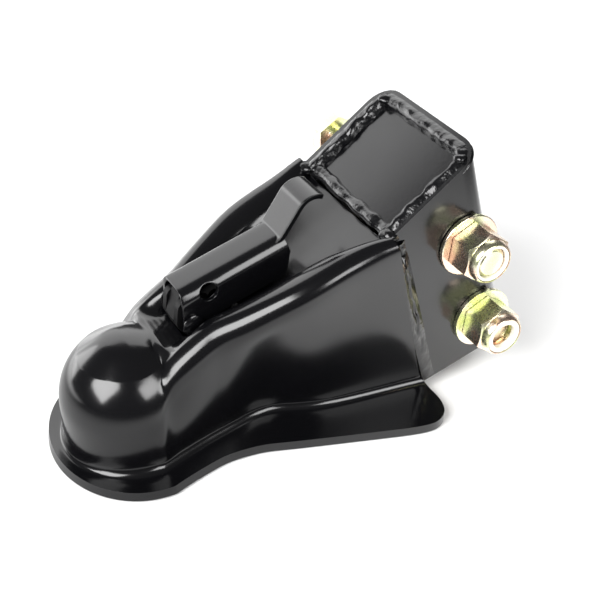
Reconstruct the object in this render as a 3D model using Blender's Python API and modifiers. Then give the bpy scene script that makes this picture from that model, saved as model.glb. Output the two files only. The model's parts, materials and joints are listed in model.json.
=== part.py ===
# Adjustable ball coupler for a trailer tongue, modelled piece by piece.
#
# The coupler lies on its flange. +Y runs from the ball socket to the bolted bracket, +X is the
# side that the nuts are on, and +Z is up. Sizes are in millimetres, measured from the axis of
# the ball; place() turns them into metres round the middle of the coupler's length and width.

import math

import bmesh
import bpy
from mathutils import Matrix, Vector
from mathutils.geometry import convex_hull_2d


# Driving dimensions

MM = 0.001
BALL_RADIUS = 29.4            # a 2-5/16 inch hitch ball
SHEET = 5.0                   # the pressed steel of the hood and the bracket
SOCKET_RADIUS = BALL_RADIUS + 0.6
DOME_RADIUS = SOCKET_RADIUS + SHEET
BALL_HEIGHT = 27.6            # centre of the ball above the underside of the flange
GAP = 0.3                     # clearance between pieces that touch
ROOT_FILLET = 4.5             # bend between the hood's walls and its flange
DOME_PULL = 24.0              # the walls leave the dome's roundness over this length

BRACKET_WIDTH = 84.0
BRACKET_LENGTH = 56.0
BRACKET_LEAN = math.radians(15.1)
BRACKET_FOOT = (147.7, 5.6)   # lower front corner of its side plates: y, z
BRACKET_FRONT_HEIGHT = 101.2
BRACKET_REAR_HEIGHT = 121.5
BRACKET_CORNER = 13.0         # outer bend radius of its rear corners
HOOD_GAP = 0.5                # between the hood's end and the bracket
WELD_SIZE = 4.6               # leg length of the upright beads

BOLT_DIAMETER = 15.9          # 5/8 inch
BOLT_SPACING = 50.8           # 2 inches
BOLT_LENGTH = 146.0           # 5 3/4 inches, long enough for the tongue's channel as well
UPPER_BOLT = (39.5, 73.3)     # along and up the bracket's side plate
STICK_OUT = {"upper": 17.6, "lower": 12.6}   # thread past the washer on the nut's side
HOLE_DIAMETER = 17.4
HEX_ACROSS_FLATS = 23.8
HEAD_HEIGHT = 9.9
WASHER_DIAMETER = 33.3
WASHER_THICKNESS = 2.4
NUT_SEAT = BRACKET_WIDTH / 2.0 + WASHER_THICKNESS + 2.0 * GAP
NUT_HEX_HEIGHT = 14.0
NUT_HEIGHT = 19.0
COLLAR_RADIUS = 11.4          # round outer end of the nut, which holds its nylon ring
RING_RADIUS = 9.8
RING_HEIGHT = 3.4
RING_SEAT = 4.0               # depth of the ring's seat in the nut
RING_HOLE = {"upper": 8.25, "lower": 6.9}    # the lower bolt stops short of its ring

LEVER_WIDTH = 24.0
LEVER_SHEET = 3.0
LEVER_BEND = 6.0
LEVER_WALL = 20.0
LEVER_FRONT = (26.2, 83.5)    # upper front edge of the closed lever: y, z
LEVER_REAR = (80.5, 98.4)     # where the finger tab starts
LEVER_HOLE = (38.2, 76.7)     # hole for a safety pin or padlock
LEVER_HOLE_DIAMETER = 10.0
LEVER_PIVOT = (31.0, 66.0)
CLAMP_PIVOT = (50.0, 46.0)
PIN_DIAMETER = 8.0
CLAMP_ARM = 20.0              # from the clamp's pin up to the nose that the cam pushes
CLAMP_NOSE = 4.0
CLAMP_SWING = math.radians(22.0)
LEVER_SWING = math.radians(75.0)
CHEEK_INSIDE = 4.7            # half the distance between the two cheeks
CHEEK_SHEET = 4.0
CHEEK_TOP = (29.4, 73.2)      # middle of the cheeks' upper corner

CLAMP_WIDTH = 30.0
LATCH_SLOT = (24.0, 60.0)     # start and end of the slot in the hood
TAB_RISE = (88.6, 110.6)      # the finger tab rises from the lever to this y, z
TAB_CURL = (98.4, 106.4)      # and curls over about this one
TAB_CURL_RADIUS = 10.6
TAB_WIDTH = 21.0

PLATE_THICKNESS = 6.0
PLATE_RECESS = 3.2            # depth of the closing plate below the bracket's top
PLATE_START = 1.4             # gap between that plate and the hood's end
TOP_SLOPE = (BRACKET_REAR_HEIGHT - BRACKET_FRONT_HEIGHT) / BRACKET_LENGTH
TOP_ANGLE = BRACKET_LEAN + math.atan(TOP_SLOPE)

FRONT_Y = -41.8               # nose of the flange
REAR_Y = BRACKET_FOOT[0] + BRACKET_LENGTH * math.cos(BRACKET_LEAN)
MIDDLE_Y = (FRONT_Y + REAR_Y) / 2.0
MIDDLE_X = -13.0              # the bolts' heads stand out further than the flange on that side


# Outlines of the hood: stations along the coupler, each with a value, smoothly joined

FLANGE_HALF_WIDTH = ((0, 50.0), (14, 46.0), (34, 42.6), (50, 44.4), (62, 48.6), (100, 61.6), (150, 78.7))
WALL_FOOT = ((0, 35.0), (9, 32.6), (26, 28.2), (46, 24.2), (58, 22.0), (66, 22.0), (79, 27.0), (90, 31.6),
             (112, 35.6), (128, 37.8), (150, 41.0))
RIDGE_MIDDLE = ((0, 17.0), (6, 19.5), (12, 21.3), (18, 22.3), (30, 23.0), (40, 23.9), (48, 25.8), (54, 28.4),
                (60, 31.2), (68, 34.4), (76, 37.4), (84, 39.4), (92, 40.1), (125, 40.4))
RIDGE_TOP = ((0, 46.0), (6, 50.5), (9.3, 53.6), (14, 57.6), (18, 60.4), (24, 63.6), (30, 66.6), (36, 70.1),
             (42, 74.0), (48, 77.6), (54, 80.8), (60, 83.9), (68, 87.0), (76, 89.2), (84, 91.4), (92, 94.4),
             (100, 97.6), (110, 101.4), (125, 105.0))
RIDGE_ROLL = ((0, 9.0), (14, 10.0), (45, 10.0), (70, 8.0), (125, 7.5))
VALLEY_FLOOR = ((0, 55.0), (14, 57.2), (24, 56.6), (34, 57.8), (58, 67.6), (80, 75.0), (98, 85.6),
                (125, 98.4))
VALLEY_HALF_WIDTH = ((0, 9.0), (14, 12.0), (30, 15.5), (80, 17.0), (100, 19.0), (125, 23.0))
FLANGE_CORNER = 15.0          # rounded rear corners of the flange
FLANGE_FLARE = math.atan(0.342)


# Helpers

def place(x, y, z):
    """A point in metres, from millimetres measured at the ball's axis."""
    return Vector((x - MIDDLE_X, y - MIDDLE_Y, z)) * MM


def along(table, y):
    """Value of a table of stations at y, on a smooth curve without overshoot."""
    if y <= table[0][0]:
        return table[0][1]
    if y >= table[-1][0]:
        return table[-1][1]
    last = len(table) - 1
    slopes = [(table[k + 1][1] - table[k][1]) / (table[k + 1][0] - table[k][0]) for k in range(last)]
    k = max(i for i in range(last) if table[i][0] <= y)

    def tangent(i):
        if i == 0 or i == last:
            return slopes[min(i, last - 1)]
        if slopes[i - 1] * slopes[i] <= 0.0:
            return 0.0
        return 2.0 * slopes[i - 1] * slopes[i] / (slopes[i - 1] + slopes[i])

    width = table[k + 1][0] - table[k][0]
    t = (y - table[k][0]) / width
    rise = table[k + 1][1] - table[k][1]
    start = tangent(k) * width
    end = tangent(k + 1) * width
    return table[k][1] + start * t + (3 * rise - 2 * start - end) * t ** 2 + (start + end - 2 * rise) * t ** 3


def make_collection(name):
    collection = bpy.data.collections.new(name)
    bpy.context.scene.collection.children.link(collection)
    return collection


def make_material(name, color, roughness, metallic):
    material = bpy.data.materials.new(name)
    material.use_nodes = True
    shader = material.node_tree.nodes["Principled BSDF"]
    shader.inputs["Base Color"].default_value = (*color, 1.0)
    shader.inputs["Roughness"].default_value = roughness
    shader.inputs["Metallic"].default_value = metallic
    return material


def to_object(name, mesh, finish=None, collection=None):
    """Put a mesh in the scene as a named part, or as a cutter when it has no finish."""
    piece = bpy.data.objects.new(name, mesh)
    (collection or CUTTERS).objects.link(piece)
    if finish is None:
        piece.hide_render = True
        piece.display_type = 'WIRE'
    else:
        mesh.materials.clear()
        mesh.materials.append(make_material(name + "_finish", *finish))
    return piece


def shade(piece, degrees=35.0):
    piece.data.shade_smooth()
    piece.data.set_sharp_from_angle(angle=math.radians(degrees))


def circle(center, radius, steps=24):
    turn = 2.0 * math.pi / steps
    angles = [k * turn for k in range(steps)]
    return [(center[0] + radius * math.cos(a), center[1] + radius * math.sin(a)) for a in angles]


def arc(center, radius, start, end, steps):
    """Points on an arc between two angles in degrees, both ends included."""
    angles = [math.radians(start + (end - start) * k / steps) for k in range(steps + 1)]
    return [(center[0] + radius * math.cos(a), center[1] + radius * math.sin(a)) for a in angles]


def hull(points):
    """The outline that a tight band round the points would take."""
    return [points[i] for i in convex_hull_2d(points)]


def side_view(x):
    """Matrix that stands a drawing of y, z upright, at x across the coupler."""
    origin = place(x, 0.0, 0.0)
    return Matrix(((0, 0, 1, origin.x), (1, 0, 0, origin.y), (0, 1, 0, origin.z), (0, 0, 0, 1)))


def extruded(name, outlines, thickness, matrix, finish=None, collection=None):
    """A flat outline, with any holes as further outlines, given a thickness about its plane."""
    curve = bpy.data.curves.new(name + "_outline", 'CURVE')
    curve.dimensions = '2D'
    curve.fill_mode = 'BOTH'
    curve.extrude = thickness * MM / 2.0
    for outline in outlines:
        spline = curve.splines.new('POLY')
        spline.points.add(len(outline) - 1)
        for point, (a, b) in zip(spline.points, outline):
            point.co = (a * MM, b * MM, 0.0, 1.0)
        spline.use_cyclic_u = True
    drawing = bpy.data.objects.new(name + "_drawing", curve)
    CUTTERS.objects.link(drawing)
    drawing.matrix_world = matrix
    bpy.context.view_layer.update()
    evaluated = drawing.evaluated_get(bpy.context.evaluated_depsgraph_get())
    mesh = bpy.data.meshes.new_from_object(evaluated)
    bm = bmesh.new()
    bm.from_mesh(mesh)
    bmesh.ops.remove_doubles(bm, verts=bm.verts, dist=0.00001)
    bmesh.ops.recalc_face_normals(bm, faces=bm.faces)
    bm.to_mesh(mesh)
    bm.free()
    mesh.name = name
    piece = to_object(name, mesh, finish, collection)
    piece.matrix_world = drawing.matrix_world
    bpy.data.objects.remove(drawing)
    return piece


def side_plate(name, outlines, x, thickness, finish=None, collection=None):
    return extruded(name, outlines, thickness, side_view(x), finish, collection)


def combine(piece, other, operation):
    modifier = piece.modifiers.new(other.name, 'BOOLEAN')
    modifier.operation = operation
    modifier.object = other
    modifier.solver = 'EXACT'


def cross_cylinder(name, radius, x_start, x_end, y, z, steps=32, finish=None, collection=None):
    """A round bar across the coupler, from one x to another."""
    bm = bmesh.new()
    turn = Matrix.Translation(place((x_start + x_end) / 2.0, y, z)) @ Matrix.Rotation(math.pi / 2.0, 4, 'Y')
    bmesh.ops.create_cone(bm, cap_ends=True, segments=steps, radius1=radius * MM, radius2=radius * MM,
                          depth=abs(x_end - x_start) * MM, matrix=turn)
    mesh = bpy.data.meshes.new(name)
    bm.to_mesh(mesh)
    bm.free()
    return to_object(name, mesh, finish, collection)


def turned(name, profile, x, y, z, direction, steps=32, finish=None, collection=None):
    """A turned piece on an axis across the coupler. The profile lists radius and distance along it."""
    bm = bmesh.new()
    points = [bm.verts.new((radius * MM, 0.0, height * MM)) for radius, height in profile]
    edges = [bm.edges.new((points[k - 1], points[k])) for k in range(len(points))]
    bmesh.ops.spin(bm, geom=points + edges, cent=(0, 0, 0), axis=(0, 0, 1), angle=2.0 * math.pi,
                   steps=steps, use_merge=True, use_duplicate=False)
    bmesh.ops.remove_doubles(bm, verts=bm.verts, dist=0.00001)
    bmesh.ops.recalc_face_normals(bm, faces=bm.faces)
    bm.transform(Matrix.Translation(place(x, y, z)) @ Matrix.Rotation(direction * math.pi / 2.0, 4, 'Y'))
    mesh = bpy.data.meshes.new(name)
    bm.to_mesh(mesh)
    bm.free()
    return to_object(name, mesh, finish, collection)


def on_bracket(u, v):
    """y and z of a point that lies u along and v up the leaning bracket."""
    y = BRACKET_FOOT[0] + u * math.cos(BRACKET_LEAN) - v * math.sin(BRACKET_LEAN)
    z = BRACKET_FOOT[1] + u * math.sin(BRACKET_LEAN) + v * math.cos(BRACKET_LEAN)
    return y, z


# The pressed hood: dome over the ball, two ridges with a valley between, walls and flange

def leaning(y, z):
    """Stations lean back more and more, until the last one lies along the bracket's edge."""
    share = y / HOOD_END
    return y - z * math.tan(BRACKET_LEAN) * share


HOOD_END = BRACKET_FOOT[0] - HOOD_GAP + BRACKET_FOOT[1] * math.tan(BRACKET_LEAN)


def hood_section(y):
    """Half of the hood's outside at one station, from the middle of the valley to the flange's edge."""
    top = y
    for _ in range(4):
        top = leaning(y, along(RIDGE_TOP, top))
    floor = along(VALLEY_FLOOR, top)
    floor_edge = along(VALLEY_HALF_WIDTH, top)
    middle = along(RIDGE_MIDDLE, top)
    roll = along(RIDGE_ROLL, top)
    ridge = (middle, along(RIDGE_TOP, top) - roll)
    foot = along(WALL_FOOT, y)
    edge = flange_edge(y)
    points = [(0.0, floor), (floor_edge * 0.55, floor), (floor_edge, floor + 0.8)]
    points += arc(ridge, roll, 128.0, 0.0, 6)
    top_of_wall = (middle + roll, ridge[1])
    wall_end = SHEET + ROOT_FILLET
    still_round = max(0.0, 1.0 - y / DOME_PULL)
    pull = still_round ** 2 * (3.0 - 2.0 * still_round)
    for share in (0.22, 0.42, 0.6, 0.76, 0.9):
        ease = share + 0.28 * share * (1.0 - share)
        x = top_of_wall[0] + (foot - top_of_wall[0]) * ease
        z = top_of_wall[1] + (wall_end - top_of_wall[1]) * share
        dome_x = math.sqrt(DOME_RADIUS ** 2 - min(max(z - BALL_HEIGHT, 0.0), DOME_RADIUS) ** 2)
        points.append((x + (dome_x - DOME_RADIUS + foot - x) * pull, z))
    points += arc((foot + ROOT_FILLET, wall_end), ROOT_FILLET, 180.0, 270.0, 4)
    reach = foot + ROOT_FILLET
    points += [(reach + (edge - reach) * 0.5, SHEET), (edge, SHEET)]
    return points


def over_dome(x, y, z):
    """Push a point of the section out to the dome, where the dome stands proud of it."""
    if abs(y) >= DOME_RADIUS:
        return x, z
    radius = math.sqrt(DOME_RADIUS ** 2 - y ** 2)
    if z < BALL_HEIGHT:
        return (max(x, radius) if z > SHEET + ROOT_FILLET - 0.01 else x), z
    rise = z - BALL_HEIGHT
    reach = math.hypot(x, rise)
    if reach >= radius or reach == 0.0:
        return x, z
    return x * radius / reach, BALL_HEIGHT + rise * radius / reach


def flange_edge(y):
    """Half width of the flange: it flares to the rear and ends in rounded corners."""
    corner_y = HOOD_END - FLANGE_CORNER
    rear_width = along(FLANGE_HALF_WIDTH, HOOD_END)
    corner_x = rear_width - FLANGE_CORNER * (math.sin(FLANGE_FLARE) + 1.0) / math.cos(FLANGE_FLARE)
    if y < corner_y - FLANGE_CORNER * math.sin(FLANGE_FLARE):
        return along(FLANGE_HALF_WIDTH, y)
    return corner_x + math.sqrt(max(FLANGE_CORNER ** 2 - (y - corner_y) ** 2, 0.0))


def make_body_shell():
    rear_half = []
    stations = [0, 4, 7, 10, 13, 16, 19, 23, 28, 34, 40, 47, 54, 62, 70, 80, 92, 104, 116, 126]
    stations += [HOOD_END - FLANGE_CORNER * share for share in (0.95, 0.6, 0.33, 0.12, 0.0)]
    for y in stations:
        section = []
        for x, z in hood_section(y):
            lean_y = leaning(y, z)
            x, z = over_dome(x, lean_y, z)
            section.append((x, lean_y, z))
        rear_half.append(section)
    side = rear_half[0]
    flange_side = side[-1][0]
    fan = []
    for degrees in range(0, 90, 10):
        angle = math.radians(degrees)
        nose_reach = 1.0 / math.hypot(math.sin(angle) / flange_side, math.cos(angle) / -FRONT_Y)
        section = []
        for x, _, z in side:
            if x > DOME_RADIUS:
                x = DOME_RADIUS + (x - DOME_RADIUS) * (nose_reach - DOME_RADIUS) / (flange_side - DOME_RADIUS)
            section.append((x * math.sin(angle), -x * math.cos(angle), z))
        fan.append(section)
    bm = bmesh.new()
    rows = [[bm.verts.new(Vector(point) * MM) for point in section] for section in fan + rear_half]
    for row, next_row in zip(rows, rows[1:]):
        for k in range(len(row) - 1):
            bm.faces.new((row[k], row[k + 1], next_row[k + 1], next_row[k]))
    bmesh.ops.remove_doubles(bm, verts=bm.verts, dist=0.00001)
    bmesh.ops.mirror(bm, geom=bm.verts[:] + bm.edges[:] + bm.faces[:], axis='X', merge_dist=0.00001)
    bm.transform(Matrix.Translation(place(0.0, 0.0, 0.0)))
    bmesh.ops.recalc_face_normals(bm, faces=bm.faces)
    highest = max(bm.faces, key=lambda face: face.calc_center_median().z)
    if highest.normal.z < 0.0:
        bmesh.ops.reverse_faces(bm, faces=bm.faces)
    mesh = bpy.data.meshes.new("body_shell")
    bm.to_mesh(mesh)
    bm.free()
    shell = to_object("body_shell", mesh, BLACK_POWDER_COAT, PARTS)
    wall = shell.modifiers.new("sheet", 'SOLIDIFY')
    wall.thickness = SHEET * MM
    wall.offset = -1.0
    slot_half_width = CHEEK_INSIDE + CHEEK_SHEET + GAP
    slot_length = LATCH_SLOT[1] - LATCH_SLOT[0]
    slot_middle = place(0.0, (LATCH_SLOT[0] + LATCH_SLOT[1]) / 2.0, LEVER_PIVOT[1])
    slot = rounded_rectangle(slot_half_width, -slot_length / 2.0, slot_length / 2.0, 1.0, 1.0, 2)
    cutter = extruded("latch_slot", [slot], 60.0, Matrix.Translation(slot_middle))
    combine(shell, cutter, 'DIFFERENCE')
    start = -HOOD_GAP
    end = BRACKET_LENGTH
    top = BRACKET_REAR_HEIGHT
    behind = [on_bracket(start, -top), on_bracket(end, -top), on_bracket(end, top), on_bracket(start, top)]
    combine(shell, side_plate("square_end", [behind], 0.0, 200.0), 'DIFFERENCE')
    shade(shell, 40.0)
    return shell


# The bolted bracket: one plate bent to a U, its top closed by a plate that is welded in

BOLTS = {"upper": on_bracket(*UPPER_BOLT), "lower": on_bracket(UPPER_BOLT[0], UPPER_BOLT[1] - BOLT_SPACING)}


def make_rear_bracket():
    half = BRACKET_WIDTH / 2.0
    inside = half - SHEET
    length = BRACKET_LENGTH
    inner_bend = BRACKET_CORNER - SHEET
    outline = [(half, 0.0)]
    outline += arc((half - BRACKET_CORNER, length - BRACKET_CORNER), BRACKET_CORNER, 0.0, 90.0, 6)
    outline += arc((BRACKET_CORNER - half, length - BRACKET_CORNER), BRACKET_CORNER, 90.0, 180.0, 6)
    outline += [(-half, 0.0), (-inside, 0.0)]
    outline += arc((BRACKET_CORNER - half, length - BRACKET_CORNER), inner_bend, 180.0, 90.0, 4)
    outline += arc((half - BRACKET_CORNER, length - BRACKET_CORNER), inner_bend, 90.0, 0.0, 4)
    outline += [(inside, 0.0)]
    foot = place(0.0, *BRACKET_FOOT)
    upright = Matrix.Translation(foot) @ Matrix.Rotation(BRACKET_LEAN, 4, 'X')
    middle = Matrix.Translation((0.0, 0.0, BRACKET_REAR_HEIGHT * MM / 2.0))
    bracket = extruded("rear_bracket", [outline], BRACKET_REAR_HEIGHT, upright @ middle,
                       BLACK_POWDER_COAT, PARTS)
    before = -0.5 * length
    beyond = 1.5 * length
    above = [on_bracket(before, BRACKET_FRONT_HEIGHT + before * TOP_SLOPE),
             on_bracket(beyond, BRACKET_FRONT_HEIGHT + beyond * TOP_SLOPE),
             on_bracket(beyond, 1.5 * BRACKET_REAR_HEIGHT), on_bracket(before, 1.5 * BRACKET_REAR_HEIGHT)]
    combine(bracket, side_plate("slanted_top", [above], 0.0, BRACKET_WIDTH + 10.0), 'DIFFERENCE')
    for name, (y, z) in BOLTS.items():
        hole = cross_cylinder("hole_" + name, HOLE_DIAMETER / 2.0, -60.0, 60.0, y, z)
        combine(bracket, hole, 'DIFFERENCE')
    shade(bracket)
    return bracket


def top_frame(depth):
    """Matrix of the bracket's sloping top: x across, y up the slope, z out of it."""
    y, z = on_bracket(0.0, BRACKET_FRONT_HEIGHT)
    corner = Matrix.Translation(place(0.0, y, z)) @ Matrix.Rotation(TOP_ANGLE, 4, 'X')
    return corner @ Matrix.Translation((0.0, 0.0, -depth * MM))


def back_wall_at(depth):
    """How far up the slope the plate can reach before it meets the back wall, at some depth."""
    tilt = TOP_ANGLE - BRACKET_LEAN
    return (BRACKET_LENGTH - SHEET) / math.cos(tilt) - depth * math.tan(tilt) - GAP


def rounded_rectangle(half_width, start, end, near_radius, far_radius, steps=4):
    """An outline across the coupler, with small corners at its start and larger ones at its end."""
    outline = arc((half_width - near_radius, start + near_radius), near_radius, -90.0, 0.0, steps)
    outline += arc((half_width - far_radius, end - far_radius), far_radius, 0.0, 90.0, steps)
    outline += arc((far_radius - half_width, end - far_radius), far_radius, 90.0, 180.0, steps)
    outline += arc((near_radius - half_width, start + near_radius), near_radius, 180.0, 270.0, steps)
    return outline


def make_top_plate():
    inside = BRACKET_WIDTH / 2.0 - SHEET - GAP
    end = back_wall_at(PLATE_RECESS + PLATE_THICKNESS)
    outline = rounded_rectangle(inside, PLATE_START, end, 1.0, BRACKET_CORNER - SHEET)
    plate = extruded("top_plate", [outline], PLATE_THICKNESS, top_frame(PLATE_RECESS + PLATE_THICKNESS / 2.0),
                     BLACK_POWDER_COAT, PARTS)
    shade(plate)
    return plate


def make_top_plate_weld():
    """A closed bead on the plate, against the walls: rounded loops at growing insets, joined."""
    inside = BRACKET_WIDTH / 2.0 - SHEET - GAP
    end = back_wall_at(PLATE_RECESS)
    profile = ((0.0, 0.0), (0.0, 3.4), (1.6, 5.0), (4.4, 4.4), (6.8, 1.8), (7.4, 0.0))
    frame = top_frame(PLATE_RECESS - GAP)
    bm = bmesh.new()
    loops = []
    for inset, height in profile:
        far_radius = max(BRACKET_CORNER - SHEET - inset, 1.5)
        near_radius = 1.0 + inset * 0.3
        outline = rounded_rectangle(inside - inset, PLATE_START + inset, end - inset, near_radius, far_radius)
        loops.append([bm.verts.new(frame @ (Vector((x, y, height)) * MM)) for x, y in outline])
    for loop, following in zip(loops, loops[1:] + loops[:1]):
        for k in range(len(loop)):
            bm.faces.new((loop[k - 1], loop[k], following[k], following[k - 1]))
    bmesh.ops.recalc_face_normals(bm, faces=bm.faces)
    mesh = bpy.data.meshes.new("top_plate_weld")
    bm.to_mesh(mesh)
    bm.free()
    weld = to_object("top_plate_weld", mesh, BLACK_POWDER_COAT, PARTS)
    shade(weld, 50.0)
    return weld


def make_side_weld(name, side):
    """The upright bead that joins the hood's wall to the bracket's side plate."""
    wall = BRACKET_WIDTH / 2.0 + GAP
    hood_end = GAP - HOOD_GAP
    bead = [(side * wall, hood_end)] + [(side * (wall + a), hood_end + b)
                                        for a, b in arc((0.0, 0.0), WELD_SIZE, 0.0, 90.0, 6)]
    start = 6.0
    length = BRACKET_FRONT_HEIGHT - 8.0 - start
    foot = place(0.0, *BRACKET_FOOT)
    upright = Matrix.Translation(foot) @ Matrix.Rotation(BRACKET_LEAN, 4, 'X')
    middle = Matrix.Translation((0.0, 0.0, (start + length / 2.0) * MM))
    weld = extruded(name, [bead], length, upright @ middle, BLACK_POWDER_COAT, PARTS)
    shade(weld, 50.0)
    return weld


# The latch: a cam lever on two cheeks, and a spring-loaded clamp behind the ball

LEVER_ANGLE = math.atan2(LEVER_REAR[1] - LEVER_FRONT[1], LEVER_REAR[0] - LEVER_FRONT[0])
LEVER_LENGTH = math.hypot(LEVER_REAR[1] - LEVER_FRONT[1], LEVER_REAR[0] - LEVER_FRONT[0])


def on_lever(s, t):
    """y and z of a point s along the closed lever from its front, t above its top."""
    y = LEVER_FRONT[0] + s * math.cos(LEVER_ANGLE) - t * math.sin(LEVER_ANGLE)
    z = LEVER_FRONT[1] + s * math.sin(LEVER_ANGLE) + t * math.cos(LEVER_ANGLE)
    return y, z


def make_latch_cheek(name, side):
    """One of the two plates welded into the slot, which carry both pins."""
    points = circle(LEVER_PIVOT, 7.0) + circle(CHEEK_TOP, 4.6) + circle(CLAMP_PIVOT, 8.0)
    hole = PIN_DIAMETER / 2.0 + GAP
    outlines = [hull(points), circle(LEVER_PIVOT, hole), circle(CLAMP_PIVOT, hole)]
    cheek = side_plate(name, outlines, side * (CHEEK_INSIDE + CHEEK_SHEET / 2.0), CHEEK_SHEET, ZINC, PARTS)
    shade(cheek)
    return cheek


def make_lever():
    """An upturned channel with round-nosed walls, a pin hole and a curled tab to lift it by."""
    half = LEVER_WIDTH / 2.0
    inner = half - LEVER_SHEET
    inner_bend = LEVER_BEND - LEVER_SHEET
    skirt = -2.0 * LEVER_WALL
    section = [(half, skirt)]
    section += arc((half - LEVER_BEND, -LEVER_BEND), LEVER_BEND, 0.0, 90.0, 5)
    section += arc((LEVER_BEND - half, -LEVER_BEND), LEVER_BEND, 90.0, 180.0, 5)
    section += [(-half, skirt), (-inner, skirt)]
    section += arc((LEVER_BEND - half, -LEVER_BEND), inner_bend, 180.0, 90.0, 3)
    section += arc((half - LEVER_BEND, -LEVER_BEND), inner_bend, 90.0, 0.0, 3)
    section += [(inner, skirt)]
    lying = Matrix.Rotation(LEVER_ANGLE + math.pi / 2.0, 4, 'X')
    front = Matrix.Translation(place(0.0, *LEVER_FRONT)) @ lying
    middle = Matrix.Translation((0.0, 0.0, -LEVER_LENGTH * MM / 2.0))
    lever = extruded("lever", [section], LEVER_LENGTH, front @ middle, BLACK_POWDER_COAT, PARTS)

    lug = arc(LEVER_PIVOT, 7.2, 160.0, 290.0, 8)
    walls = [on_lever(-3.0, 5.0), on_lever(0.2, -6.0)] + lug
    walls += [on_lever(19.0, -LEVER_WALL), on_lever(LEVER_LENGTH - 4.0, -LEVER_WALL)]
    walls += [on_lever(LEVER_LENGTH - 0.6, -LEVER_WALL + 6.0), on_lever(LEVER_LENGTH + 3.0, -5.0)]
    walls += [on_lever(LEVER_LENGTH + 3.0, 5.0)]
    combine(lever, side_plate("lever_side_outline", [walls], 0.0, LEVER_WIDTH + 10.0), 'INTERSECT')

    bend = on_lever(LEVER_LENGTH - 1.0, -LEVER_SHEET / 2.0)
    path = [on_lever(LEVER_LENGTH - 7.0, -LEVER_SHEET / 2.0), bend, TAB_RISE]
    path += arc(TAB_CURL, TAB_CURL_RADIUS, 150.0, 62.0, 6)
    combine(lever, strip("finger_tab_blank", path, LEVER_SHEET, TAB_WIDTH), 'UNION')

    for name, spot, radius in (("lever_pin_hole", LEVER_PIVOT, PIN_DIAMETER / 2.0 + GAP),
                               ("padlock_hole", LEVER_HOLE, LEVER_HOLE_DIAMETER / 2.0)):
        combine(lever, cross_cylinder(name, radius, -30.0, 30.0, *spot, steps=24), 'DIFFERENCE')
    shade(lever)
    return lever


def strip(name, path, thickness, width):
    """A bent strip of sheet, seen from the side as a path with a thickness."""
    left = []
    right = []
    for k, (y, z) in enumerate(path):
        before = path[max(k - 1, 0)]
        after = path[min(k + 1, len(path) - 1)]
        length = math.hypot(after[0] - before[0], after[1] - before[1])
        normal = (-(after[1] - before[1]) / length, (after[0] - before[0]) / length)
        left.append((y + normal[0] * thickness / 2.0, z + normal[1] * thickness / 2.0))
        right.append((y - normal[0] * thickness / 2.0, z - normal[1] * thickness / 2.0))
    return side_plate(name, [left + right[::-1]], 0.0, width)


def make_lever_cam():
    """The steel cam inside the lever: its edge comes nearer the pin as the lever is lifted."""
    reach = CLAMP_PIVOT[0] - LEVER_PIVOT[0] - CLAMP_NOSE - GAP
    travel = CLAMP_ARM * math.sin(CLAMP_SWING)
    edge = []
    for k in range(9):
        turn = -LEVER_SWING * k / 8.0
        radius = reach - travel * k / 8.0
        edge.append((LEVER_PIVOT[0] + radius * math.cos(turn), LEVER_PIVOT[1] + radius * math.sin(turn)))
    edge += arc(LEVER_PIVOT, reach - travel, 270.0, 180.0, 6)
    top = -LEVER_SHEET - GAP
    edge += [on_lever(1.5, top), on_lever(5.5, top)]
    edge += [(LEVER_PIVOT[0] + 3.0, LEVER_PIVOT[1] + 6.5)]
    edge += [(LEVER_PIVOT[0] + reach * 0.97, LEVER_PIVOT[1] + 3.0)]
    outlines = [edge, circle(LEVER_PIVOT, PIN_DIAMETER / 2.0 + GAP)]
    cam = side_plate("lever_cam", outlines, 0.0, 2.0 * (CHEEK_INSIDE - GAP), ZINC, PARTS)
    shade(cam)
    return cam


def make_ball_clamp():
    """A rocking jaw: a wide block with a seat for the ball, a hub and an arm up to the cam."""
    thin = 2.0 * (CHEEK_INSIDE - GAP)
    nose = (CLAMP_PIVOT[0], CLAMP_PIVOT[1] + CLAMP_ARM)
    stem = hull(circle(nose, CLAMP_NOSE) + circle(CLAMP_PIVOT, 7.6))
    clamp = side_plate("ball_clamp", [stem], 0.0, thin, CAST_STEEL, PARTS)
    web = hull(circle(CLAMP_PIVOT, 7.6) + circle((38.0, 30.0), 5.0) + circle((38.0, 18.0), 5.0))
    combine(clamp, side_plate("clamp_web", [web], 0.0, thin - 0.4), 'UNION')
    block = [(20.0, 8.5), (37.0, 8.5), (41.5, 13.0), (41.5, 27.0), (38.0, 31.5), (20.0, 31.5)]
    jaw = side_plate("clamp_jaw", [block], 0.0, CLAMP_WIDTH)
    combine(clamp, jaw, 'UNION')
    bm = bmesh.new()
    bmesh.ops.create_uvsphere(bm, u_segments=40, v_segments=24, radius=(BALL_RADIUS + 0.5) * MM,
                              matrix=Matrix.Translation(place(0.0, 0.0, BALL_HEIGHT)))
    mesh = bpy.data.meshes.new("ball_seat")
    bm.to_mesh(mesh)
    bm.free()
    combine(clamp, to_object("ball_seat", mesh), 'DIFFERENCE')
    hole = cross_cylinder("clamp_pin_hole", PIN_DIAMETER / 2.0 + GAP, -30.0, 30.0, *CLAMP_PIVOT, steps=24)
    combine(clamp, hole, 'DIFFERENCE')
    shade(clamp)
    return clamp


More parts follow.
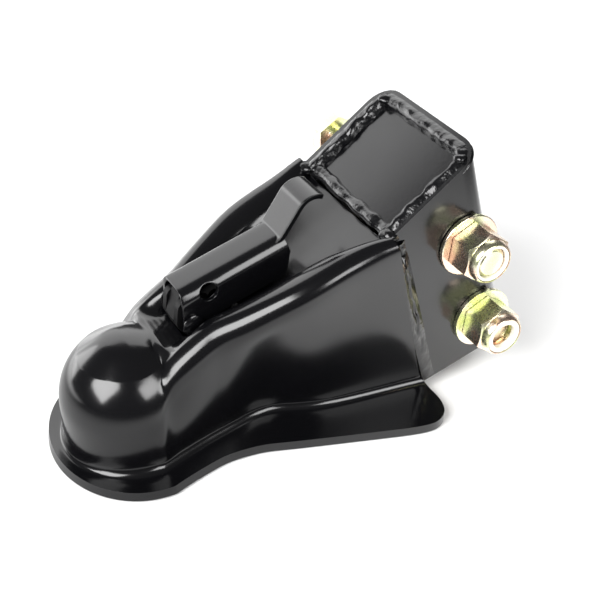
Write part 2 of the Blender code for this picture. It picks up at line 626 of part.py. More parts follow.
def make_pin(name, spot, half_length, clip_side):
    """A headed pin with a groove for its clip on the +X side, or on the -X side when that is -1."""
    radius = PIN_DIAMETER / 2.0
    head = radius + 1.2
    profile = [(0.0, -half_length - 1.6), (head - 1.0, -half_length - 1.4), (head, -half_length - 0.7),
               (head, -half_length), (radius, -half_length), (radius, half_length + 0.4),
               (radius - 1.0, half_length + 0.4), (radius - 1.0, half_length + 1.8),
               (radius, half_length + 1.8), (radius, half_length + 2.8), (radius - 0.6, half_length + 3.4),
               (0.0, half_length + 3.4)]
    pin = turned(name, profile, 0.0, *spot, clip_side, 24, ZINC, PARTS)
    shade(pin)
    return pin


def make_pin_clip(name, spot, half_length, clip_side):
    """An open ring that snaps into the pin's groove."""
    groove = PIN_DIAMETER / 2.0 - 1.0 + GAP
    ring = arc(spot, PIN_DIAMETER / 2.0 + 1.9, 30.0, 330.0, 16) + arc(spot, groove, 330.0, 30.0, 16)
    clip = side_plate(name, [ring], clip_side * (half_length + 1.1), 0.8, ZINC, PARTS)
    shade(clip)
    return clip


def make_clamp_spring():
    """A torsion spring on the clamp's pin; its long leg rests behind the clamp's arm."""
    wire = 1.6
    coil_radius = PIN_DIAMETER / 2.0 + GAP + 0.4 + wire / 2.0
    first = CHEEK_INSIDE + CHEEK_SHEET + GAP + wire / 2.0
    turns = 3.0
    steps = 36
    points = [(first, CLAMP_PIVOT[0] + 9.0, CLAMP_PIVOT[1] + 11.5),
              (first, CLAMP_PIVOT[0] + 8.0, CLAMP_PIVOT[1] + 6.0)]
    for k in range(steps + 1):
        angle = 2.0 * math.pi * turns * k / steps
        x = first + (wire + 0.25) * turns * k / steps
        y = CLAMP_PIVOT[0] + coil_radius * math.cos(angle)
        points.append((x, y, CLAMP_PIVOT[1] + coil_radius * math.sin(angle)))
    last = points[-1][0]
    points.append((last, CLAMP_PIVOT[0] + coil_radius, CLAMP_PIVOT[1] - 9.0))
    curve = bpy.data.curves.new("clamp_spring", 'CURVE')
    curve.dimensions = '3D'
    curve.bevel_depth = wire * MM / 2.0
    curve.bevel_resolution = 1
    curve.use_fill_caps = True
    spline = curve.splines.new('POLY')
    spline.points.add(len(points) - 1)
    for point, (x, y, z) in zip(spline.points, points):
        point.co = (*place(x, y, z), 1.0)
    curve.materials.append(make_material("clamp_spring_finish", *ZINC))
    spring = bpy.data.objects.new("clamp_spring", curve)
    PARTS.objects.link(spring)
    return spring


# Fasteners: two long hexagon bolts, each with a washer and a nylon-insert nut

def hexagon(center, turn):
    """Corners of a bolt's or a nut's hexagon, its first one at an angle of turn degrees."""
    radius = HEX_ACROSS_FLATS / 2.0 / math.cos(math.pi / 6.0)
    return arc(center, radius, turn, turn + 300.0, 5)


def cone_cutter(name, spot, x_flat, direction):
    """A turned blank that takes the corners off the outer end of a hexagon."""
    corner = HEX_ACROSS_FLATS / 2.0 / math.cos(math.pi / 6.0)
    flat = HEX_ACROSS_FLATS / 2.0 - 0.2
    fall = (corner + 2.0 - flat) * math.tan(math.radians(30.0))
    profile = [(0.0, -60.0), (corner + 2.0, -60.0), (corner + 2.0, -fall), (flat, 0.0), (0.0, 0.0)]
    return turned(name, profile, x_flat, *spot, direction, 32)


def make_bolt(name, spot):
    """A bolt whose end sits in the nut, and whose head stands off the bracket's far side."""
    end = NUT_SEAT + STICK_OUT[name]
    bearing = end - BOLT_LENGTH
    head = side_plate("bolt_" + name, [hexagon(spot, 30.0)], bearing - HEAD_HEIGHT / 2.0, HEAD_HEIGHT,
                      YELLOW_ZINC, PARTS)
    combine(head, cone_cutter("head_cone_" + name, spot, bearing - HEAD_HEIGHT, -1.0), 'INTERSECT')
    radius = BOLT_DIAMETER / 2.0
    point = 1.5
    sunk = 1.0
    tip = BOLT_LENGTH + sunk
    profile = [(0.0, 0.0), (radius, 0.0), (radius, tip - point), (radius - point, tip), (0.0, tip)]
    shank = turned("shank_" + name, profile, bearing - sunk, *spot, 1.0, 32)
    combine(head, shank, 'UNION')
    shade(head)
    return head


def make_washer(name, spot):
    inner = BOLT_DIAMETER / 2.0 + GAP
    x = BRACKET_WIDTH / 2.0 + GAP + WASHER_THICKNESS / 2.0
    outlines = [circle(spot, WASHER_DIAMETER / 2.0, 32), circle(spot, inner, 24)]
    washer = side_plate(name, outlines, x, WASHER_THICKNESS, YELLOW_ZINC, PARTS)
    shade(washer)
    return washer


def make_nut(name, spot):
    """A hexagon with a round collar, hollowed for the bolt and for its nylon ring."""
    middle = NUT_SEAT + NUT_HEX_HEIGHT / 2.0
    nut = side_plate("lock_nut_" + name, [hexagon(spot, 24.0)], middle, NUT_HEX_HEIGHT, YELLOW_ZINC, PARTS)
    combine(nut, cone_cutter("nut_cone_" + name, spot, NUT_SEAT + NUT_HEX_HEIGHT, 1.0), 'INTERSECT')
    collar = COLLAR_RADIUS
    profile = [(0.0, 0.0), (collar, 0.0), (collar, NUT_HEIGHT - 2.4), (collar - 0.8, NUT_HEIGHT - 0.8),
               (collar - 2.0, NUT_HEIGHT), (0.0, NUT_HEIGHT)]
    combine(nut, turned("nut_collar_" + name, profile, NUT_SEAT + 0.1, *spot, 1.0, 32), 'UNION')
    bore = BOLT_DIAMETER / 2.0 + GAP
    seat = RING_RADIUS + GAP
    seat_depth = NUT_HEIGHT - RING_SEAT - GAP
    hollow = [(0.0, -5.0), (bore, -5.0), (bore, seat_depth), (seat, seat_depth), (seat, NUT_HEIGHT + 3.0),
              (0.0, NUT_HEIGHT + 3.0)]
    combine(nut, turned("nut_bore_" + name, hollow, NUT_SEAT, *spot, 1.0, 32), 'DIFFERENCE')
    shade(nut)
    return nut


def make_nut_ring(name, spot):
    """The nylon ring that grips the thread, set into the outer end of the nut."""
    middle = NUT_SEAT + NUT_HEIGHT - RING_SEAT + RING_HEIGHT / 2.0
    outlines = [circle(spot, RING_RADIUS, 32), circle(spot, RING_HOLE[name], 24)]
    ring = side_plate("nut_ring_" + name, outlines, middle, RING_HEIGHT, NYLON, PARTS)
    shade(ring)
    return ring


# Build

for leftover in list(bpy.data.objects):
    bpy.data.objects.remove(leftover)

PARTS = make_collection("ball_coupler")
CUTTERS = make_collection("cutters")

# Finishes: colour, roughness, metallic
BLACK_POWDER_COAT = ((0.012, 0.012, 0.013), 0.22, 0.0)
ZINC = ((0.55, 0.55, 0.57), 0.35, 1.0)
CAST_STEEL = ((0.16, 0.16, 0.17), 0.55, 1.0)
YELLOW_ZINC = ((0.72, 0.58, 0.30), 0.28, 1.0)
NYLON = ((0.82, 0.80, 0.72), 0.5, 0.0)

make_body_shell()
make_rear_bracket()
make_top_plate()
make_top_plate_weld()
make_side_weld("side_weld_right", 1.0)
make_side_weld("side_weld_left", -1.0)
make_latch_cheek("latch_cheek_right", 1.0)
make_latch_cheek("latch_cheek_left", -1.0)
lever = make_lever()
lever_cam = make_lever_cam()
ball_clamp = make_ball_clamp()
make_pin("lever_pin", LEVER_PIVOT, LEVER_WIDTH / 2.0 + GAP, -1.0)
make_pin_clip("lever_pin_clip", LEVER_PIVOT, LEVER_WIDTH / 2.0 + GAP, -1.0)
make_pin("clamp_pin", CLAMP_PIVOT, 15.6, 1.0)
make_pin_clip("clamp_pin_clip", CLAMP_PIVOT, 15.6, 1.0)
make_clamp_spring()
for bolt_name, bolt_spot in BOLTS.items():
    make_bolt(bolt_name, bolt_spot)
    make_washer("nut_washer_" + bolt_name, bolt_spot)
    make_nut(bolt_name, bolt_spot)
    make_nut_ring(bolt_name, bolt_spot)

# The moving pieces hang on empties that sit on their pins
for hinge_name, hinge_spot, movers in (("lever_hinge", LEVER_PIVOT, (lever, lever_cam)),
                                       ("clamp_hinge", CLAMP_PIVOT, (ball_clamp,))):
    hinge = bpy.data.objects.new(hinge_name, None)
    PARTS.objects.link(hinge)
    hinge.location = place(0.0, *hinge_spot)
    bpy.context.view_layer.update()
    for mover in movers:
        mover.parent = hinge
        mover.matrix_parent_inverse = hinge.matrix_world.inverted()
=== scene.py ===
# %% [markdown]
# # A trailer coupler in gloss black, with gold bolts
#
# The coupler is pressed and welded from steel plate, then powder coated in gloss black. A black
# gloss shows its shape almost only by what it mirrors, so this lesson spends its effort on three
# things: surfaces smooth enough to carry a clean reflection, edges rounded enough to catch a thin
# bright line, and a studio that gives them something to mirror.

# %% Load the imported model
import json
import math

import bmesh
import bpy
from mathutils import Matrix, Quaternion, Vector, noise

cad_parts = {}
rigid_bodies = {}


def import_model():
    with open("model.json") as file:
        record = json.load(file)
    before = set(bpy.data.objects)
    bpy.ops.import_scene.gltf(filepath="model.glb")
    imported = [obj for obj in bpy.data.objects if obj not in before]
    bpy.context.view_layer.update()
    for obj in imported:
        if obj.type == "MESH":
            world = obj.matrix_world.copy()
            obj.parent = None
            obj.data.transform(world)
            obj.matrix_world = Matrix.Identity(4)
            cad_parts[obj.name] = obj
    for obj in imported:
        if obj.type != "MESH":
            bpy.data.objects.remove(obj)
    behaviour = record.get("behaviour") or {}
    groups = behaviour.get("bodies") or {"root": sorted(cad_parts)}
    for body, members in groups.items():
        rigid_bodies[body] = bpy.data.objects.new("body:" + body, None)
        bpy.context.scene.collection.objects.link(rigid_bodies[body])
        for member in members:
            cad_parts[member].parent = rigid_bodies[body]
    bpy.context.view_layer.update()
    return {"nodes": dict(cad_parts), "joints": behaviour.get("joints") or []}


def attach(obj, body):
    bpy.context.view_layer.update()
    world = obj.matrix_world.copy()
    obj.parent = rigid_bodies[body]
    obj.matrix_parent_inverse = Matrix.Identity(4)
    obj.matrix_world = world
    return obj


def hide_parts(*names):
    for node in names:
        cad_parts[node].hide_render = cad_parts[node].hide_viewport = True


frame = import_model()
MM = 0.001
hinge = {joint["name"]: joint for joint in frame["joints"]}
BODY = hinge["lever_hinge"]["parent"]
LEVER_PIVOT = Vector((0.0, 31.0, 66.0))     # the lever's pin, in millimetres from the ball's axis
ORIGIN = Vector(hinge["lever_hinge"]["pos_m"]) - LEVER_PIVOT * MM


def at(x, y, z):
    """A point in metres, from millimetres measured at the ball's axis."""
    return ORIGIN + Vector((x, y, z)) * MM


print("nodes", len(frame["nodes"]), "ball axis at", [round(value, 5) for value in ORIGIN])

# %% [markdown]
# ## Camera
#
# The camera stands where the photographer did: a little above the coupler, looking at its ball end
# from the side with the nuts. Turning an azimuth and an elevation into a position is one line of
# trigonometry, and a track quaternion aims the lens.

# %% Camera
CAMERA_AZIMUTH = math.radians(61.2)
CAMERA_ELEVATION = math.radians(35.9)
CAMERA_DISTANCE = 0.5712
CAMERA_LENS = 66.46
CAMERA_TARGET = at(0.0, 95.6, 50.0)


def towards(azimuth, elevation):
    """Unit vector from the object to a place round it; azimuth 0 is in front, 90 degrees on +X."""
    flat = math.cos(elevation)
    return Vector((math.sin(azimuth) * flat, -math.cos(azimuth) * flat, math.sin(elevation)))


lens = bpy.data.cameras.new("camera")
lens.lens = CAMERA_LENS
lens.clip_start = 0.01
camera = bpy.data.objects.new("camera", lens)
bpy.context.scene.collection.objects.link(camera)
view_line = towards(CAMERA_AZIMUTH, CAMERA_ELEVATION)
camera.location = CAMERA_TARGET + view_line * CAMERA_DISTANCE
camera.rotation_euler = (-view_line).to_track_quat('-Z', 'Y').to_euler()
bpy.context.scene.camera = camera
print("camera at", [round(value, 3) for value in camera.location])

# %% [markdown]
# ## Materials
#
# Five finishes cover the whole coupler. Each starts from the Principled shader and from what the real
# surface is, and its patterns read Object coordinates, which stay with a piece when it moves. One
# small function adds a node with its settings and links. Colours are written as the hex values that a
# paint chart gives, and one function turns them to the linear values that a shader wants. A pattern
# is given as a width in millimetres, because that is what can be measured on the real thing.

# %% Material helpers
def linear(hex_colour):
    """An sRGB hex colour as linear RGBA."""
    values = [int(hex_colour[k:k + 2], 16) / 255.0 for k in (1, 3, 5)]
    return (*[v / 12.92 if v <= 0.04045 else ((v + 0.055) / 1.055) ** 2.4 for v in values], 1.0)


def patches(width):
    """Scale of a noise texture whose patches are about so many millimetres wide."""
    return 1.0 / (width * MM)


def set_inputs(material, node, inputs):
    """Set a node's inputs: a socket is linked, and any other value is written on the input."""
    for name, value in inputs.items():
        if isinstance(value, bpy.types.NodeSocket):
            material.node_tree.links.new(value, node.inputs[name])
        else:
            node.inputs[name].default_value = value


def add_node(material, kind, inputs=None, **settings):
    """Add a node with its inputs and its settings."""
    node = material.node_tree.nodes.new(kind)
    for name, value in settings.items():
        setattr(node, name, value)
    set_inputs(material, node, inputs or {})
    return node


def new_material(name):
    """A material, its Principled shader, and the Object coordinates that its patterns read."""
    material = bpy.data.materials.new(name)
    material.use_nodes = True
    place = add_node(material, "ShaderNodeTexCoord")
    return material, material.node_tree.nodes["Principled BSDF"], place.outputs["Object"]


print("black as linear", [round(value, 4) for value in linear("#09090b")])

# %% [markdown]
# ## Gloss black powder coat
#
# The steel is sprayed with a black polyester powder and baked, which melts it to a film about 0.1 mm
# thick. One flat glossy black would do from afar, but a baked film is never quite flat: it keeps an
# orange peel a couple of millimetres wide, and its gloss drifts from place to place. Noise draws both,
# faint enough that a reflection stays in one piece. The eye sees black where the coat mirrors the
# dark room, and grey to white where it mirrors a lamp or the paper.

# %% Powder coat
COAT_COLOUR = "#09090b"
COAT_IOR = 1.52
GLOSS_PATCH = 16.67         # millimetres, as are the other widths of patterns
ORANGE_PEEL = 2.0


def black_powder_coat():
    material, shader, place = new_material("gloss_black_powder_coat")
    cloud = add_node(material, "ShaderNodeTexNoise", {"Vector": place, "Scale": patches(GLOSS_PATCH)})
    shine = add_node(material, "ShaderNodeMapRange", {"Value": cloud.outputs["Fac"],
                                                     "To Min": 0.13, "To Max": 0.19})
    peel = add_node(material, "ShaderNodeTexNoise", {"Vector": place, "Scale": patches(ORANGE_PEEL)})
    bump = add_node(material, "ShaderNodeBump", {"Height": peel.outputs["Fac"], "Strength": 0.1,
                                                "Distance": 0.0001})
    set_inputs(material, shader, {"Base Color": linear(COAT_COLOUR), "IOR": COAT_IOR,
                                  "Roughness": shine.outputs["Result"], "Normal": bump.outputs["Normal"]})
    return material


POWDER_COAT = black_powder_coat()
print("made", POWDER_COAT.name)

# %% [markdown]
# ## The same coat over weld metal
#
# The coupler is coated after it is welded, so the beads carry the same film, but rippled metal lies
# under it. The drops of a bead are in its mesh. The ripples on them, about 2.4 mm wide, are too many
# for a mesh, so they are a bump, and they break the shine into many small glints.

# %% Coat over weld
WELD_RIPPLE = 2.38


def coat_over_weld():
    material, shader, place = new_material("powder_coat_over_weld")
    ripple = add_node(material, "ShaderNodeTexNoise", {"Vector": place, "Scale": patches(WELD_RIPPLE),
                                                      "Detail": 2.0})
    bump = add_node(material, "ShaderNodeBump", {"Height": ripple.outputs["Fac"], "Strength": 0.5,
                                                "Distance": 0.0006})
    set_inputs(material, shader, {"Base Color": linear(COAT_COLOUR), "IOR": COAT_IOR,
                                  "Roughness": 0.2, "Normal": bump.outputs["Normal"]})
    return material


WELD_COAT = coat_over_weld()
print("made", WELD_COAT.name)

# %% [markdown]
# ## Yellow zinc
#
# The bolts, nuts and washers are plated with zinc and dipped in a chromate bath, which leaves a film
# so thin that it splits light: the eye sees straw with bands of rose and pale green. The shader's own
# thin film could do that, but a colour ramp over slow noise keeps the bands pale and in reach. The
# plating's grain is finer than a pixel, so it is drawn about 1 mm wide, as changes in the roughness.

# %% Yellow zinc
FILM_BAND = 18.2
PLATING_GRAIN = 1.11
FILM_COLOURS = ((0.42, "#efd0bc"), (0.5, "#f4ecd2"), (0.6, "#dfe6b4"))     # between the ramp's two ends


def yellow_zinc():
    material, shader, place = new_material("yellow_zinc_plate")
    film = add_node(material, "ShaderNodeTexNoise", {"Vector": place, "Scale": patches(FILM_BAND),
                                                    "Detail": 1.0})
    bands = add_node(material, "ShaderNodeValToRGB", {"Fac": film.outputs["Fac"]})
    bands.color_ramp.elements[0].position = 0.3
    bands.color_ramp.elements[0].color = linear("#efe3c0")
    bands.color_ramp.elements[1].position = 0.72
    bands.color_ramp.elements[1].color = linear("#f0e8a8")
    for position, colour in FILM_COLOURS:
        bands.color_ramp.elements.new(position).color = linear(colour)
    grain = add_node(material, "ShaderNodeTexNoise", {"Vector": place, "Scale": patches(PLATING_GRAIN)})
    shine = add_node(material, "ShaderNodeMapRange", {"Value": grain.outputs["Fac"],
                                                     "To Min": 0.2, "To Max": 0.34})
    set_inputs(material, shader, {"Base Color": bands.outputs["Color"], "Metallic": 1.0,
                                  "Roughness": shine.outputs["Result"]})
    return material


YELLOW_ZINC = yellow_zinc()
print("made", YELLOW_ZINC.name)

# %% [markdown]
# ## Nylon and blackened steel
#
# The rings in the lock nuts are moulded nylon, milky and a little uneven. The latch's inner pieces
# are steel blackened in an oxide bath and oiled, which soaks up light in faint clouds and hardly
# shines. Each is a tone that drifts to a near one, so one function makes both.

# %% Nylon and blackened steel
def cloudy(name, dark, light, width, roughness, specular):
    """A finish that drifts between two tones over patches of a width in millimetres."""
    material, shader, place = new_material(name)
    patch = add_node(material, "ShaderNodeTexNoise", {"Vector": place, "Scale": patches(width)})
    tone = add_node(material, "ShaderNodeValToRGB", {"Fac": patch.outputs["Fac"]})
    tone.color_ramp.elements[0].position = 0.35
    tone.color_ramp.elements[0].color = linear(dark)
    tone.color_ramp.elements[1].position = 0.65
    tone.color_ramp.elements[1].color = linear(light)
    set_inputs(material, shader, {"Base Color": tone.outputs["Color"], "Roughness": roughness,
                                  "Specular IOR Level": specular})
    return material


NYLON = cloudy("natural_nylon", "#efead8", "#f8f5ea", 4.55, 0.4, 0.5)
BLACKENED = cloudy("blackened_steel", "#09090a", "#101011", 6.67, 0.5, 0.15)
print("made", NYLON.name, "and", BLACKENED.name)

# %% [markdown]
# ## The pressed hood
#
# A press shop forms the hood from one sheet. It could be sculpted, or lofted in a CAD program, but
# its shape is simple to say in words: at each station along the coupler, a valley, a rolled ridge, a
# leaning wall and a flange. So each feature is a short table of stations and values, joined by a
# smooth curve, and one function draws half a section at any station. The ball end is the first
# section spun a quarter turn, and the rest is that section's edge extruded from station to station.
# The cage stays coarse on purpose: Subdivision Surface turns it into a surface whose curvature
# changes evenly, and only such a surface carries a clean reflection.

# %% Sizes of the hood, in millimetres from the ball's axis
SHEET = 5.0
DOME_RADIUS = 35.0
BALL_HEIGHT = 27.6
ROOT_FILLET = 5.6
DOME_PULL = 24.0        # the walls leave the dome's roundness over this length
FRONT_Y = -41.8
LEAN = math.radians(15.1)
FOOT = (147.7, 5.6)     # y and z of the bracket's lower front corner
HOOD_END = FOOT[0] - 0.5 + FOOT[1] * math.tan(LEAN)
FLANGE_CORNER = 15.0
FLANGE_FLARE = math.atan(0.342)
SLOT_HALF_WIDTH = 9.0
NECK_REACH = 30.0       # the valley's edge changes over this length behind the ball
EDGE_RISE = 0.8         # behind it the edge stands this far over the valley's middle
EDGE_DIP = 0.5          # and at the ball it lies this far below
WALL_SHARES = (0.16, 0.34, 0.52, 0.7, 0.86)
WALL_HOLLOW = 0.28      # how strongly the wall curves on its way down

# %% Tables of the hood's features: each pair is a station and the value there
FLANGE_HALF_WIDTH = ((0, 50.0), (14, 46.0), (34, 42.6), (50, 44.4), (62, 48.6), (100, 61.6), (150, 78.7))
WALL_FOOT = ((0, 35.0), (9, 32.6), (26, 28.2), (46, 24.2), (58, 22.0), (66, 22.0), (79, 27.0), (90, 31.6),
             (112, 35.6), (128, 37.8), (150, 41.0))
RIDGE_MIDDLE = ((0, 17.5), (8, 20.5), (16, 22.0), (34, 22.5), (44, 26.3), (54, 30.2), (64, 33.8),
                (74, 37.0), (84, 38.2), (94, 38.6), (104, 39.4), (114, 42.0), (126, 46.0))
RIDGE_TOP = ((0, 46.0), (8, 52.5), (16, 59.8), (24, 65.2), (34, 71.0), (44, 75.7), (54, 80.4), (64, 85.2),
             (74, 89.9), (84, 93.9), (94, 97.6), (104, 100.8), (114, 103.8), (126, 106.0))
RIDGE_ROLL = ((0, 9.0), (24, 9.4), (44, 9.5), (64, 8.6), (84, 8.2), (104, 8.0), (114, 7.0), (126, 5.0))
RIDGE_INSIDE = ((0, 9.0), (24, 9.4), (34, 10.5), (44, 12.2), (64, 13.4), (74, 14.8), (84, 14.8),
                (94, 13.3), (104, 10.0), (114, 7.0), (126, 5.0))     # gentler than the outer roll
RIDGE_START = ((0, 96.0), (14, 98.0), (24, 118.0), (34, 138.0), (54, 150.0), (126, 150.0))     # degrees
VALLEY_FLOOR = ((0, 61.4), (13.6, 59.7), (18, 58.4), (23, 57.6), (28, 57.8), (36, 60.0), (46, 63.4),
                (58, 68.2), (80, 75.0), (98, 85.6), (125, 98.4))
VALLEY_HALF_WIDTH = ((0, 14.0), (34, 13.6), (54, 15.5), (74, 19.5), (94, 22.5), (104, 27.0), (114, 33.5),
                     (126, 39.5))
FLANGE_DISH = ((0, 0.085), (30, 0.06), (80, 0.02), (150, 0.01))      # how steeply it rises outwards
CREASE = ((0, 13.6), (9.8, 13.2), (16.2, 12.3), (22.5, 9.3), (27.7, 5.8), (35, 4.0))   # x, y on the dome
print("hood", round(HOOD_END - FRONT_Y, 1), "mm long")

# %% [markdown]
# ## A smooth curve through a few stations
#
# Straight lines between stations would show as kinks in every reflection, and a plain spline swings
# past its points. A cubic whose slope at a station is the harmonic mean of the two neighbouring
# slopes does neither: it is smooth, and it never leaves the range of the values beside it.

# %% Curves
def along(table, y):
    """Value of a table of stations at y."""
    if y <= table[0][0]:
        return table[0][1]
    if y >= table[-1][0]:
        return table[-1][1]
    last = len(table) - 1
    slopes = [(table[k + 1][1] - table[k][1]) / (table[k + 1][0] - table[k][0]) for k in range(last)]
    k = max(i for i in range(last) if table[i][0] <= y)

    def tangent(i):
        if i == 0 or i == last:
            return slopes[min(i, last - 1)]
        if slopes[i - 1] * slopes[i] <= 0.0:
            return 0.0
        return 2.0 * slopes[i - 1] * slopes[i] / (slopes[i - 1] + slopes[i])

    width = table[k + 1][0] - table[k][0]
    t = (y - table[k][0]) / width
    rise = table[k + 1][1] - table[k][1]
    start = tangent(k) * width
    end = tangent(k + 1) * width
    return table[k][1] + start * t + (3 * rise - 2 * start - end) * t ** 2 + (start + end - 2 * rise) * t ** 3


def arc(center, radius, start, end, steps):
    """Points on an arc between two angles in degrees, both ends included."""
    angles = [math.radians(start + (end - start) * k / steps) for k in range(steps + 1)]
    return [(center[0] + radius * math.cos(a), center[1] + radius * math.sin(a)) for a in angles]


print("ridge top at y 50:", round(along(RIDGE_TOP, 50.0), 2))


# %% One section of the hood
def leaning(y, z):
    """Stations lean back more and more, until the last one lies along the bracket's edge."""
    return y - z * math.tan(LEAN) * y / HOOD_END


def flange_edge(y):
    """Half width of the flange: it flares to the rear and ends in rounded corners."""
    corner_y = HOOD_END - FLANGE_CORNER
    corner_in = FLANGE_CORNER * (math.sin(FLANGE_FLARE) + 1.0) / math.cos(FLANGE_FLARE)
    corner_x = along(FLANGE_HALF_WIDTH, HOOD_END) - corner_in
    if y < corner_y - FLANGE_CORNER * math.sin(FLANGE_FLARE):
        return along(FLANGE_HALF_WIDTH, y)
    return corner_x + math.sqrt(max(FLANGE_CORNER ** 2 - (y - corner_y) ** 2, 0.0))


def wall_points(y, top_of_wall, foot, wall_end):
    """The wall from the ridge to its foot; beside the ball it takes on the dome's roundness."""
    fade = max(0.0, 1.0 - y / DOME_PULL)
    pull = fade ** 2 * (3.0 - 2.0 * fade)
    points = []
    for share in WALL_SHARES:
        ease = share + WALL_HOLLOW * share * (1.0 - share)
        x = top_of_wall[0] + (foot - top_of_wall[0]) * ease
        z = top_of_wall[1] + (wall_end - top_of_wall[1]) * share
        dome_x = math.sqrt(max(DOME_RADIUS ** 2 - max(z - BALL_HEIGHT, 0.0) ** 2, 0.0))
        round_x = dome_x - (DOME_RADIUS - foot)
        points.append((x + (round_x - x) * pull, z))
    return points


def hood_section(y):
    """Half of the hood's outside at one station, from the middle of the valley to the flange's edge."""
    top = y
    for _ in range(4):      # enough for the leaning section to settle under its own ridge
        top = leaning(y, along(RIDGE_TOP, top))
    floor = along(VALLEY_FLOOR, top)
    near_ball = max(0.0, 1.0 - top / NECK_REACH)
    beside = EDGE_RISE * (1.0 - near_ball) - EDGE_DIP * near_ball
    points = [(0.0, floor), (SLOT_HALF_WIDTH, floor), (along(VALLEY_HALF_WIDTH, top), floor + beside)]

    middle = along(RIDGE_MIDDLE, top)
    roll = along(RIDGE_ROLL, top)
    ridge = (middle, along(RIDGE_TOP, top) - roll)
    start = along(RIDGE_START, top)
    inside = along(RIDGE_INSIDE, top) / roll
    inner = arc(ridge, roll, start, (start + 90.0) / 2.0, 1)
    points += [(middle + (x - middle) * inside, z) for x, z in inner]
    points += arc(ridge, roll, 90.0, 0.0, 3)

    foot = along(WALL_FOOT, y)
    wall_end = SHEET + ROOT_FILLET
    points += wall_points(y, (middle + roll, ridge[1]), foot, wall_end)
    points += arc((foot + ROOT_FILLET, wall_end), ROOT_FILLET, 180.0, 270.0, 4)

    reach = foot + ROOT_FILLET
    width = flange_edge(y) - reach
    dish = along(FLANGE_DISH, y)
    points += [(reach + width * share, SHEET + width * share * dish) for share in (0.5, 1.0)]
    return [Vector((x, leaning(y, z), z)) for x, z in points]


print("points in half a section", len(hood_section(50.0)))

# %% [markdown]
# ## From sections to a hood
#
# Two bmesh operators draw the whole sheet. Spin turns the first section round the ball's axis, and
# extrude carries its last edge back, row by row, where each row's points are set to the next section.
# The first two rows still lie on the dome and end at the crease round it, so the dome stays a
# ball. The crease is an edge weight that the subdivision keeps sharp, and it fades down the side.
# Mirror makes the other half, and a few faces go to open the slot for the latch.

# %% Rows behind the ball
FAN_STEPS = 9
NECK_END = 26.0
STATIONS = [NECK_END, 30, 35, 40, 46, 52, 58, 65, 73, 82, 92, 103, 114, 124]
STATIONS += [HOOD_END - FLANGE_CORNER * share for share in (0.95, 0.6, 0.33, 0.12, 0.0)]
ON_DOME_SHARES = (0.5, 1.0)             # of the way to the crease
NECK_SHARES = (0.2, 0.45, 0.72)         # of the way from the crease to the neck's end
CREASE_POINTS = 6
CREASE_SHARP = 0.75
CREASE_FADE = 0.13
LATCH_SLOT = (26, 60)


def on_dome(point):
    """The place on the dome, or on the round wall below it, that is nearest to a point."""
    if point.z < SHEET + ROOT_FILLET - 0.01:
        return point
    middle = Vector((0.0, 0.0, min(point.z, BALL_HEIGHT)))
    return middle + (point - middle).normalized() * DOME_RADIUS


def neck_rows():
    """Rows from the dome's widest section back to the neck: two on the dome, the others free of it."""
    starts = [along(CREASE, point.x) for point in hood_section(0.0)]
    rows = []
    for share in ON_DOME_SHARES:
        rows.append([on_dome(hood_section(start * share)[k]) for k, start in enumerate(starts)])
    for share in NECK_SHARES:
        rows.append([hood_section(start + (NECK_END - start) * share)[k] for k, start in enumerate(starts)])
    return rows


print("rows behind the ball", len(neck_rows()) + len(STATIONS))


# %% Cage of the hood
def chain(edges):
    """The vertices of a row of edges, from its highest end."""
    ends = [vert for edge in edges for vert in edge.verts if sum(vert in other.verts for other in edges) == 1]
    ordered = [max(ends, key=lambda vert: vert.co.z)]
    left = list(edges)
    while left:
        edge = next(edge for edge in left if ordered[-1] in edge.verts)
        ordered.append(edge.other_vert(ordered[-1]))
        left.remove(edge)
    return ordered


def stretch_nose(bm, side_reach):
    """Grow the flange round the ball from a circle to an ellipse that ends at FRONT_Y."""
    for vert in bm.verts:
        reach = vert.co.xy.length
        if reach > DOME_RADIUS:
            angle = math.atan2(vert.co.x, -vert.co.y)
            wanted = 1.0 / math.hypot(math.sin(angle) / side_reach, math.cos(angle) / -FRONT_Y)
            grown = DOME_RADIUS + (reach - DOME_RADIUS) * (wanted - DOME_RADIUS) / (side_reach - DOME_RADIUS)
            vert.co.xy *= grown / reach


def face_outwards(bm):
    """Recalculate an open surface's normals, with its highest face pointing up."""
    bmesh.ops.recalc_face_normals(bm, faces=bm.faces)
    top = max(bm.faces, key=lambda face: face.calc_center_median().z)
    if top.normal.z < 0.0:
        bmesh.ops.reverse_faces(bm, faces=bm.faces)


